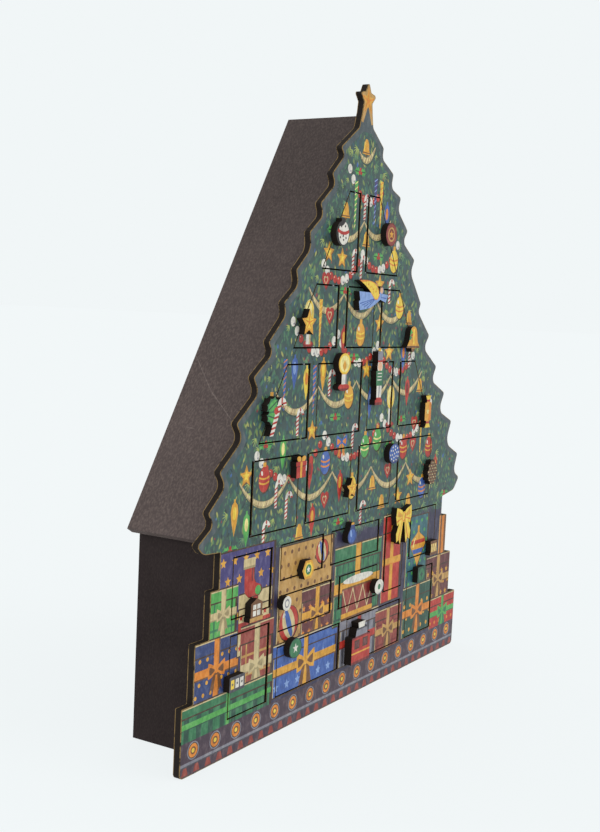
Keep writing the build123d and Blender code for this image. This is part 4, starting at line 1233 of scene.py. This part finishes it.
def front_loops(node: str) -> list[Outline]:
    """Reads the outlines of a node's front face from its mesh.

    Args:
        node: name of the node.

    Returns:
        The outer outline counter-clockwise and each opening clockwise, in millimetres.
    """
    mesh = frame["nodes"][node].data
    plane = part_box(node)[0].y + ON_FACE
    places = {v.index: (round(v.co.x / MM, 4), round(v.co.z / MM, 4))
              for v in mesh.vertices if v.co.y < plane}
    edges = set()
    for polygon in mesh.polygons:
        ring = [places.get(k) for k in polygon.vertices]
        if None in ring:
            continue
        for a, b in zip(ring, ring[1:] + ring[:1]):
            if (b, a) in edges:
                edges.remove((b, a))
            else:
                edges.add((a, b))
    follow = dict(sorted(edges))
    loops = []
    while follow:
        start = min(follow)
        loop = [start]
        here = follow.pop(start)
        while here != start:
            loop.append(here)
            here = follow.pop(here)
        loops.append(loop)
    return sorted(loops, key=area, reverse=True)


@dataclass
class PaintFilm:
    """A thin film of paint on one node's front face, cut to the face and to every painted shape."""

    node: str
    body: str
    slot: str
    thick: float = 0.06
    margin: float = 0.0

    def build(self, ground: Paint, picture: Picture) -> bpy.types.Object:
        """Makes the film as a closed mesh, one material for each paint that shows.

        Args:
            ground: paint where no shape covers the face.
            picture: shapes to paint.

        Returns:
            The film, riding on the node's body.
        """
        loops = front_loops(self.node)
        outer = drawn_in(loops[0], self.margin) if self.margin else loops[0]
        rings = [outer] + [loop[::-1] for loop in loops[1:]]
        holes = set(range(1, len(rings)))
        low = [min(p[k] for p in outer) for k in (0, 1)]
        high = [max(p[k] for p in outer) for k in (0, 1)]
        paints = [ground] * len(rings)
        for paint, outline in picture.shapes:
            spans = [(min(p[k] for p in outline), max(p[k] for p in outline)) for k in (0, 1)]
            if all(spans[k][0] < high[k] and spans[k][1] > low[k] for k in (0, 1)):
                rings.append(outline)
                paints.append(paint)
        points, faces = [], []
        for ring in rings:
            faces.append(list(range(len(points), len(points) + len(ring))))
            points += [Vector(p) for p in ring]
        flat, _, cells, _, _, owners = delaunay_2d_cdt(points, [], faces, FILL_RINGS, MERGED_WITHIN)
        kept = []
        for cell, owner in zip(cells, owners):
            if 0 in owner and not holes.intersection(owner):
                kept.append((cell, paints[max(owner)]))
        return self.shell(flat, kept)

    def shell(self, flat: list[Vector], kept: list[tuple[list[int], Paint]]) -> bpy.types.Object:
        """Thickens the painted cells to a closed shell.

        Args:
            flat: points of the plane.
            kept: corners and paint of each cell.

        Returns:
            The film's object.
        """
        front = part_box(self.node)[0].y
        count = len(flat)
        verts = [(p.x * MM, y, p.y * MM) for y in (front - self.thick * MM, front) for p in flat]
        palette = sorted({paint for _, paint in kept}, key=lambda paint: paint.name)
        index = {paint: k for k, paint in enumerate(palette)}
        faces, slots = [], []
        edges = {}
        for cell, paint in kept:
            faces += [tuple(cell), tuple(count + k for k in reversed(cell))]
            slots += [index[paint]] * 2
            for a, b in zip(cell, cell[1:] + cell[:1]):
                if (b, a) in edges:
                    del edges[(b, a)]
                else:
                    edges[(a, b)] = index[paint]
        for (a, b), slot in edges.items():
            faces.append((b, a, count + a, count + b))
            slots.append(slot)
        used = sorted({k for face in faces for k in face})
        renumber = {k: n for n, k in enumerate(used)}
        mesh = bpy.data.meshes.new(f"paint_{self.node}")
        mesh.from_pydata([verts[k] for k in used], [], [[renumber[k] for k in face] for face in faces])
        for paint in palette:
            mesh.materials.append(paint.value.material())
        mesh.polygons.foreach_set("material_index", slots)
        mesh.update()
        film = add_object(f"paint_{self.node}", mesh)
        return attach(film, self.body)


# Sub-assemblies

def dress(node: str, finish: Finish) -> None:
    """Gives a node of the frame one finish all over.

    Args:
        node: name of the node.
        finish: its finish.
    """
    materials = frame["nodes"][node].data.materials
    materials.clear()
    materials.append(finish.material())


def named(*starts: str) -> list[tuple[str, str]]:
    """Lists the nodes whose names start in one of some ways, each with its body."""
    bodies = frame["record"]["behaviour"]["bodies"].items()
    return [(node, body) for body, nodes in bodies for node in nodes if node.startswith(starts)]


@dataclass(frozen=True)
class Garland:
    """One garland across the tree: its height, the rise of its right end, its swags, and beads or tinsel."""

    height: float
    rise: float
    swags: int
    beads: bool


@dataclass
class FrontSheet:
    """The painted front: the tree on its sheet and the doors that are sawn out of it, in millimetres."""

    picture: Picture = field(default_factory=Picture)
    chance: random.Random = field(default_factory=lambda: random.Random(SEED))
    # Bare sawn rim round the sheet's paint, and how far paint is drawn past the sheet's edge to be cut there
    rim: float = 0.5
    overlap: float = 20.0
    # The tree: its waved hem, the heights between which it follows the sheet's edge, and its slate border
    hem: float = 131.0
    hem_half: float = 172.0
    hem_drop: float = 6.0
    hem_waves: int = 9
    wave_points: int = 6
    edge_span: Point = (135.0, 428.0)
    border: float = 5.5
    core: float = 2.0
    neck: float = 420.0
    # Half the tree's width at a height, and how much it loses for each millimetre upwards
    foot_half: float = 171.0
    foot_height: float = 153.0
    taper: float = 0.58
    # The star on the top: middle across, its depth below the sheet's top, its width and its ground
    star_middle: float = -2.6
    star_depth: float = 12.0
    star_width: float = 19.2
    star_ground: float = 25.0
    star_inset: float = 4.0
    star_over: float = 10.0
    # Fans of needles: spread in degrees, how each needle from the middle one shortens, and widths
    needle_spread: float = 26.0
    needle_loss: float = 0.12
    needle_widths: Point = (0.9, 0.35)
    # Fans on the tree: how many, where, how crowded to the edges, and their directions in degrees and lengths
    sprigs: int = 150
    sprig_span: Point = (135.0, 404.0)
    sprig_inset: float = 3.0
    crowding: float = 0.45
    down: float = 270.0
    outward: float = 55.0
    sway: float = 25.0
    sprig_lengths: Point = (3.5, 6.5)
    # Fans along the hem
    hem_inset: float = 4.0
    hem_rises: Point = (-3.0, 4.0)
    hem_sway: float = 35.0
    hem_lengths: Point = (6.0, 9.0)
    # Garlands: distance from the tree's edge, sag, and how much longer than its span a swag is
    garland_inset: float = 14.0
    sag_share: float = 0.24
    sag_least: float = 2.0
    swag_length: float = 1.12
    # Thickness of a rope, its share at the ends, spans of the rope's line, width of its strands' ends
    rope: float = 4.6
    rope_end: float = 0.24
    rope_spans: int = 18
    strand: Point = (0.7, 0.3)
    # Width of a bead, the fewest spans of a string, and how many of how many beads are white
    bead: float = 6.2
    string_spans: int = 4
    white_beads: int = 2
    bead_row: int = 5
    garlands: tuple[Garland, ...] = (
        Garland(404.0, 3.0, 1, False),
        Garland(382.0, -6.0, 1, True),
        Garland(353.0, 4.0, 2, False),
        Garland(330.0, 10.0, 2, True),
        Garland(299.0, -4.0, 3, False),
        Garland(268.0, -12.0, 3, True),
        Garland(238.0, 5.0, 4, False),
        Garland(205.0, 12.0, 3, True),
        Garland(173.0, -4.0, 5, False),
    )
    # Ornaments: how many, tries for each, and the room between two and to the hem and the neck
    ornaments: int = 112
    tries: int = 40
    room: float = 3.0
    hem_room: float = -4.0
    neck_room: float = 6.0
    colours: tuple[tuple[Paint, Paint], ...] = (
        (Paint.RED, Paint.GOLD), (Paint.RED, Paint.DEEP_RED), (Paint.YELLOW, Paint.ORANGE),
        (Paint.GOLD, Paint.YELLOW), (Paint.BLUE, Paint.SKY), (Paint.BLUE, Paint.ORANGE),
        (Paint.LEAF, Paint.GLOW), (Paint.PURPLE, Paint.SKY))
    heap: tuple[Parcel, ...] = (
        Parcel(-163, 22, -100, 134, Paint.PURPLE, Paint.GOLD, Pattern.STARS, step=13),
        Parcel(-172, 81.5, -143, 111.5, Paint.LEAF, Paint.GREEN, Pattern.CHECKS, Paint.CREAM, Paint.STRAW,
               9, 15),
        Parcel(-186, 44, -139, 81, Paint.NAVY, Paint.GOLD, Pattern.DOTS, Paint.ORANGE, Paint.BROWN, 8, 19),
        Parcel(-140, 64, -103, 104, Paint.CREAM, Paint.RED, Pattern.STARS, Paint.RED, Paint.DEEP_RED, 10, 18),
        Parcel(-136, 30, -99, 82, Paint.BRICK, Paint.TAN, Pattern.CHECKS, Paint.CREAM, Paint.STRAW, 12, 19),
        Parcel(-198, 22, -98, 43.5, Paint.GREEN, Paint.PINE, Pattern.STRIPES, Paint.LEAF, Paint.PINE, 12),
        Parcel(-94, 58, -22, 128, Paint.TAN, Paint.BROWN, Pattern.DOTS, step=9),
        Parcel(-62, 58, -20, 93, Paint.MAROON, Paint.ORANGE, Pattern.STARS, Paint.GOLD, Paint.BROWN, 9, 20),
        Parcel(-96, 25, -12, 61, Paint.BLUE, Paint.SKY, Pattern.STARS, Paint.GOLD, Paint.BROWN, 13, 25),
        Parcel(-18, 58, 52, 116, Paint.GREEN, Paint.PINE, Pattern.CHECKS, Paint.GOLD, Paint.BROWN, 8),
        Parcel(56, 62, 87, 131, Paint.RED, Paint.ORANGE, Pattern.PLAIN, Paint.GOLD, Paint.ORANGE),
        Parcel(-6, 25, 52, 61, Paint.GREY, Paint.DARK_GREY, Pattern.STRIPES, Paint.RED, Paint.DEEP_RED,
               9, 24),
        Parcel(50, 24, 92, 56, Paint.BRICK, Paint.DEEP_RED, Pattern.CHECKS, Paint.TAN, Paint.BROWN, 9, 20),
        Parcel(97, 56, 136, 124, Paint.TEAL, Paint.LEAF, Pattern.DOTS, step=9),
        Parcel(158, 84, 173, 119, Paint.ORANGE, Paint.BROWN, Pattern.STRIPES, step=7),
        Parcel(138, 46, 183.5, 85, Paint.MAROON, Paint.GOLD, Pattern.STARS, Paint.TAN, Paint.BROWN, 10, 20),
        Parcel(96, 25, 149, 66, Paint.PINE, Paint.GOLD, Pattern.DOTS, Paint.ORANGE, Paint.BROWN, 10, 23),
        Parcel(148, 22, 198, 47.5, Paint.RED, Paint.ORANGE, Pattern.DOTS, Paint.LEAF, Paint.GREEN, 9, 20),
    )
    toys: tuple[tuple[Motif, Spot], ...] = (
        (STOCKING, Spot(-130.0, 127.0, 26.0, 26.0)),
        (BALL_SHADE, Spot(-78.6, 73.5, 25.4, 25.4)),
        (BALL, Spot(-79.0, 74.0, 24.0, 24.0)),
        (BALL_SHADE, Spot(-37.6, 117.5, 18.4, 18.4)),
        (BALL, Spot(-38.0, 118.0, 17.0, 17.0)),
        (DRUM, Spot(18.0, 74.0, 46.0, 27.0)),
        (SPINNING_TOP, Spot(118.0, 98.0, 27.0, 27.0)),
    )
    # The band at the foot: half its length, its heights, those of the cord's shade and cord, and its rows
    band_half: float = 200.0
    band: Point = (-2.0, 22.0)
    cord: Triple = (6.4, 7.2, 9.0)
    tongues: int = 33
    tongue_half: float = 192.0
    tongue: Spot = Spot(0.0, 3.7, 6.8, 5.0)
    rings: int = 17
    ring_half: float = 184.0
    ring: Spot = Spot(0.0, 15.4, 12.0, 11.6)

    def build(self) -> list[bpy.types.Object]:
        """Paints the sheet and its doors as one picture and blacks their sawn edges.

        Returns:
            The paint films.
        """
        self.paint_tree()
        for parcel in self.heap:
            parcel.paint(self.picture)
        for motif, spot in self.toys:
            self.picture.add(motif, spot)
        self.paint_band()
        low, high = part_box("front_panel")
        edge = SawnEdge("blacked_sawn_fibreboard", low.y, high.y)
        films = []
        for node, body in named("front_panel", "door_"):
            dress(node, edge)
            margin = self.rim if node == "front_panel" else 0.0
            films.append(PaintFilm(node, body, "front_paint", margin=margin).build(Paint.NIGHT, self.picture))
        return films

    def half_width(self, height: float) -> float:
        """Gives about half the tree's width at a height."""
        return self.foot_half - self.taper * (height - self.foot_height)

    def paint_tree(self) -> None:
        """Paints the boughs within the sheet's edge, and on them all that hangs there and the star."""
        low, high = self.edge_span
        edge = [p for p in front_loops("front_panel")[0] if low < p[1] < high]
        right = [p for p in edge if p[0] > 0]
        left = [p for p in edge if p[0] <= 0]
        hem = []
        for k, x in enumerate(evenly(self.hem_half, self.wave_points * self.hem_waves + 1)):
            dip = abs(math.sin(math.pi * k / self.wave_points))
            hem.append((x, self.hem - self.hem_drop * dip))
        outer = [(x + self.overlap, z) for x, z in right] + [(x - self.overlap, z) for x, z in left]
        inner = [(max(x - self.border, self.core), z - self.core) for x, z in right]
        inner += [(min(x + self.border, -self.core), z - self.core) for x, z in left]
        self.picture.add((Shape(Paint.SLATE, hem + outer), Shape(Paint.FIR, hem + inner)))
        self.paint_sprigs()
        for garland in self.garlands:
            self.paint_garland(garland)
        self.paint_ornaments()
        self.paint_top_star()

    def paint_top_star(self) -> None:
        """Paints the star on the tree's top: tan gold with orange folds, its legs over the topmost bough."""
        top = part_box("front_panel")[1].z / MM
        middle, side, above = top - self.star_depth, self.star_ground, top + self.star_over
        self.picture.add((
            Bar(Paint.SLATE, -side, self.neck - self.star_inset, side, above),
            Bar(Paint.TAN, -side, middle - self.star_inset, side, above)))
        self.picture.add(TREE_STAR, Spot(self.star_middle, middle, self.star_width, self.star_width))

    def sprig(self, root: Point, length: float, lean: float, paint: Paint) -> list[Mark]:
        """Draws a fan of five fir needles.

        Args:
            root: where the needles meet.
            length: length of the middle needle.
            lean: direction of the middle needle in degrees.
            paint: colour of the needles.

        Returns:
            A mark for each needle.
        """
        needles = []
        for k in range(-2, 3):
            angle = math.radians(lean + self.needle_spread * k)
            reach = length * (1 - self.needle_loss * abs(k))
            tip = (root[0] + reach * math.cos(angle), root[1] + reach * math.sin(angle))
            needles.append(Brush(paint, (root, tip), *self.needle_widths))
        return needles

    def paint_sprigs(self) -> None:
        """Paints fans of needles over the tree, most at its edges, and along its hem."""
        chance = self.chance
        for _ in range(self.sprigs):
            z = chance.uniform(*self.sprig_span)
            reach = self.half_width(z) - self.sprig_inset
            x = chance.uniform(-1, 1)
            x = reach * math.copysign(abs(x) ** self.crowding, x)
            lean = self.down + self.outward * x / reach + chance.uniform(-self.sway, self.sway)
            paint = chance.choice((Paint.NEEDLE, Paint.NEEDLE_GOLD, Paint.NEEDLE_DARK))
            self.picture.add(self.sprig((x, z), chance.uniform(*self.sprig_lengths), lean, paint))
        for x in evenly(self.hem_half - self.hem_inset, self.wave_points * self.hem_waves):
            z = self.hem + chance.uniform(*self.hem_rises)
            length = chance.uniform(*self.hem_lengths)
            lean = self.down + chance.uniform(-self.hem_sway, self.hem_sway)
            paint = chance.choice((Paint.NEEDLE, Paint.NEEDLE_DARK))
            self.picture.add(self.sprig((x, z), length, lean, paint))

    def rope_marks(self, line: Outline) -> list[Mark]:
        """Draws a tinsel rope, thin at its ends and full in the middle.

        Args:
            line: points along the rope.

        Returns:
            The marks of its shade, body, light and strands.
        """
        full, thin = self.rope, self.rope_end * self.rope
        marks = [
            Brush(Paint.NEEDLE_DARK, [(x + 0.3, z - 0.3 * full) for x, z in line], thin, swell=0.7 * full),
            Brush(Paint.STRAW, line, thin, swell=full - thin),
            Brush(Paint.CREAM, [(x, z + 0.1 * full) for x, z in line], 0.5 * thin, swell=0.5 * full)]
        last = len(line) - 1
        for k in range(1, last):
            x, z = line[k]
            reach = 0.5 * thin + 2 * (full - thin) * k / last * (1 - k / last)
            run = ((x - 0.5 * reach, z - 0.8 * reach), (x + 0.4 * reach, z + reach))
            marks.append(Brush((Paint.GLOW, Paint.BROWN, Paint.STRAW)[k % 3], run, *self.strand))
        return marks

    def paint_garland(self, garland: Garland) -> None:
        """Paints one garland in even swags: a tinsel rope, or a string of red and white beads.

        Args:
            garland: the garland.
        """
        half = self.half_width(garland.height) - self.garland_inset
        span = 2 * half / garland.swags
        sag = self.sag_share * span + self.sag_least
        knots = [-half + span * k for k in range(garland.swags + 1)]
        ends = [(x, garland.height + garland.rise * x / half) for x in knots]
        for start, end in zip(ends, ends[1:]):
            if not garland.beads:
                self.picture.add(self.rope_marks(hanging(start, end, sag, self.rope_spans)))
                continue
            count = max(self.string_spans, round(self.swag_length * span / self.bead))
            for k, place in enumerate(hanging(start, end, sag, count)):
                bead = WHITE_BEAD if k % self.bead_row < self.white_beads else RED_BEAD
                self.picture.add(bead, Spot(*place, self.bead, self.bead))

    def paint_ornaments(self) -> None:
        """Hangs ornaments all over the tree, none over another."""
        kinds = [kind.value for kind in Hang]
        weights = [kind.chances for kind in kinds]
        taken = []
        for _ in range(self.tries * self.ornaments):
            kind = self.chance.choices(kinds, weights)[0]
            half = kind.height / 2
            z = self.chance.uniform(self.hem + self.hem_room + half, self.neck - self.neck_room - half)
            # The boughs narrow upwards, so the room at the sides is taken above the ornament's middle
            reach = self.half_width(z + kind.height / 3) - self.border - kind.width / 2
            spot = Spot(self.chance.uniform(-reach, reach), z, kind.width, kind.height)
            if all(spot.clear_of(other, self.room) for other in taken):
                taken.append(spot)
                self.picture.add(kind.marks, spot, self.chance.choice(self.colours))
            if len(taken) == self.ornaments:
                break
        LOG.info("%d ornaments painted", len(taken))

    def paint_band(self) -> None:
        """Paints the foot of the sheet: a plum band with amber rings, a grey cord and brick tongues."""
        side, (foot, head), (shade, low, high) = self.band_half, self.band, self.cord
        self.picture.add((
            Bar(Paint.PLUM, -side, foot, side, head),
            Bar(Paint.GREY, -side, low, side, high),
            Bar(Paint.DARK_GREY, -side, shade, side, low)))
        for motif, spot, half, count in ((TONGUE, self.tongue, self.tongue_half, self.tongues),
                                         (AMBER_RING, self.ring, self.ring_half, self.rings)):
            for x in evenly(half, count):
                self.picture.add(motif, Spot(x, spot.z, spot.width, spot.height))


@dataclass
class Knobs:
    """The cut-out knobs: blacked edges, scarcely rubbed, and a painted face each."""

    rubbed: str = "#1f1813"
    rub: float = 0.2

    def build(self) -> list[bpy.types.Object]:
        """Blacks each knob's edges, paints its face and gives the paint films."""
        slots = {row["node"]: row["material_slot"] for row in frame["record"]["subparts"]}
        return [self.paint(PaintFilm(node, body, slots[node])) for node, body in named("knob_")]

    def paint(self, film: PaintFilm) -> bpy.types.Object:
        """Dresses one knob.

        Args:
            film: paint film of the knob's face.

        Returns:
            The film's object.
        """
        low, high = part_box(film.node)
        name = f"blacked_edge_{low.y / MM:.1f}"
        dress(film.node, SawnEdge(name, low.y, high.y, bare=self.rubbed, rub=self.rub))
        middle, size = (low + high) / 2 / MM, (high - low) / MM
        face = KnobFace[film.node.split("_", 2)[2].upper()].value
        picture = Picture()
        picture.add(face.marks, Spot(middle.x, middle.z, size.x, size.z))
        return film.build(face.ground, picture)


@dataclass
class Box:
    """The house-shaped box: charcoal boards outside, darker with painted shade on the walls, base and back,
    bare boards inside and bright pins.
    """

    roof_colour: str = "#4a3e3c"
    # Charcoal darkened as painted shade for the walls, base and back
    wall_colour: str = "#201919"
    bare_colour: str = "#6f5136"
    # Heights between which painted shade darkens the roof towards its top, in millimetres
    dulled: Point = (215.0, 400.0)
    rubs: tuple[tuple[float, float, float, float], ...] = (
        (38.0, 254.5, 11.0, 229.0), (13.0, 231.0, -11.0, 214.5), (21.5, 207.4, 16.0, 207.0))
    shaded: tuple[str, ...] = ("left_wall", "right_wall", "base_board", "back_panel")
    inside: tuple[str, ...] = ("tree_shelves", "lower_shelves", "tree_dividers", "lower_dividers")

    def build(self) -> None:
        """Gives each board its finish."""
        for side, marks in (("left_roof", self.rubs), ("right_roof", ())):
            dress(side, BoardPaint(f"charcoal_matt_paint_{side}", self.roof_colour, grain=1.2, tooth=1.5,
                                   dulled=self.dulled, marks=marks))
        # Painted shade: the walls, base and back take a darker copy of the charcoal paint, with less sheen
        # and tooth
        wall = BoardPaint("dark_umber_matt_paint", self.wall_colour, sheen=0.06, tooth=0.4)
        bare = BareBoard("bare_hardboard", self.bare_colour)
        for names, finish in ((self.shaded, wall), (self.inside, bare)):
            for name in names:
                dress(name, finish)
        dress("hinge_pins", BrightWire("drawn_steel_wire"))


@dataclass(frozen=True)
class Lamp:
    """A broad soft light so far off that the whole floor is lit alike.

    Its source is the direction from the calendar to the light, its spread how wide it looks from there in
    degrees, and its strength the watts on a square metre that faces it.
    """

    name: str
    source: Triple
    spread: float
    strength: float

    def hang(self) -> None:
        """Adds the light to the scene."""
        lamp = bpy.data.lights.new(self.name, "SUN")
        lamp.angle = math.radians(self.spread)
        lamp.energy = self.strength
        add_object(self.name, lamp).rotation_euler = Vector(self.source).to_track_quat("Z", "Y").to_euler()


@dataclass
class Studio:
    """Pale floor, soft light and the camera, in metres."""

    camera_place: Triple = (-0.7598, -0.4514, 0.2878)
    camera_forward: Triple = (0.84853, 0.52165, -0.08869)
    camera_up: Triple = (0.05176, 0.08498, 0.99504)
    lens: float = 51.5
    backdrop: str = "#f1f6f7"
    paper: str = "#f0f2f2"
    # Share of the floor's tone that is its own, so that shadows stay faint
    floor_glow: float = 0.9
    floor_half: float = 30.0
    lamps: tuple[Lamp, ...] = (
        Lamp("key", (0.6, -1.6, 1.3), 36.0, 0.68),
        Lamp("side", (-2.8, 0.4, 1.1), 30.0, 0.8))

    def build(self) -> None:
        """Makes the floor, the light and the camera."""
        bpy.context.scene.view_settings.view_transform = "Standard"
        self.make_world()
        self.make_floor()
        for lamp in self.lamps:
            lamp.hang()
        self.make_camera()

    def make_world(self) -> None:
        """Fills the room with even pale light."""
        world = bpy.data.worlds.new("studio_air")
        tree = empty_tree(world)
        sky = add_node(tree, "ShaderNodeBackground", {"Color": linear(self.backdrop), "Strength": 1.0})
        add_node(tree, "ShaderNodeOutputWorld", {"Surface": sky})
        bpy.context.scene.world = world

    def make_floor(self) -> None:
        """Lays a wide pale floor under the calendar."""
        half = self.floor_half
        mesh = bpy.data.meshes.new("studio_floor")
        mesh.from_pydata([(-half, -half, 0), (half, -half, 0), (half, half, 0), (-half, half, 0)], [],
                         [(0, 1, 2, 3)])
        material = bpy.data.materials.new("pale_studio_paper")
        tree = empty_tree(material)
        paper = add_node(tree, "ShaderNodeBsdfDiffuse", {"Color": linear(self.paper)})
        light = add_node(tree, "ShaderNodeEmission", {"Color": linear(self.backdrop), "Strength": 1.0})
        mixed = add_node(tree, "ShaderNodeMixShader", {0: self.floor_glow, 1: paper, 2: light})
        add_node(tree, "ShaderNodeOutputMaterial", {"Surface": mixed})
        mesh.materials.append(material)
        add_object("studio_floor", mesh)

    def make_camera(self) -> None:
        """Sets the camera where the photograph was taken from."""
        forward, up = Vector(self.camera_forward).normalized(), Vector(self.camera_up)
        right = forward.cross(up).normalized()
        turn = Matrix((right, right.cross(forward), -forward)).transposed().to_4x4()
        camera = bpy.data.cameras.new("camera")
        camera.lens = self.lens
        holder = add_object("camera", camera)
        holder.matrix_world = Matrix.Translation(self.camera_place) @ turn
        bpy.context.scene.camera = holder


def main() -> None:
    """Dresses the calendar, sets the studio and logs how many faces each paint film has."""
    logging.basicConfig(level=logging.INFO, format="%(name)s: %(message)s")
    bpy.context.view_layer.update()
    Box().build()
    for film in FrontSheet().build() + Knobs().build():
        LOG.info("%s: %d faces", film.name, len(film.data.polygons))
    Studio().build()


if __name__ == "__main__":
    main()
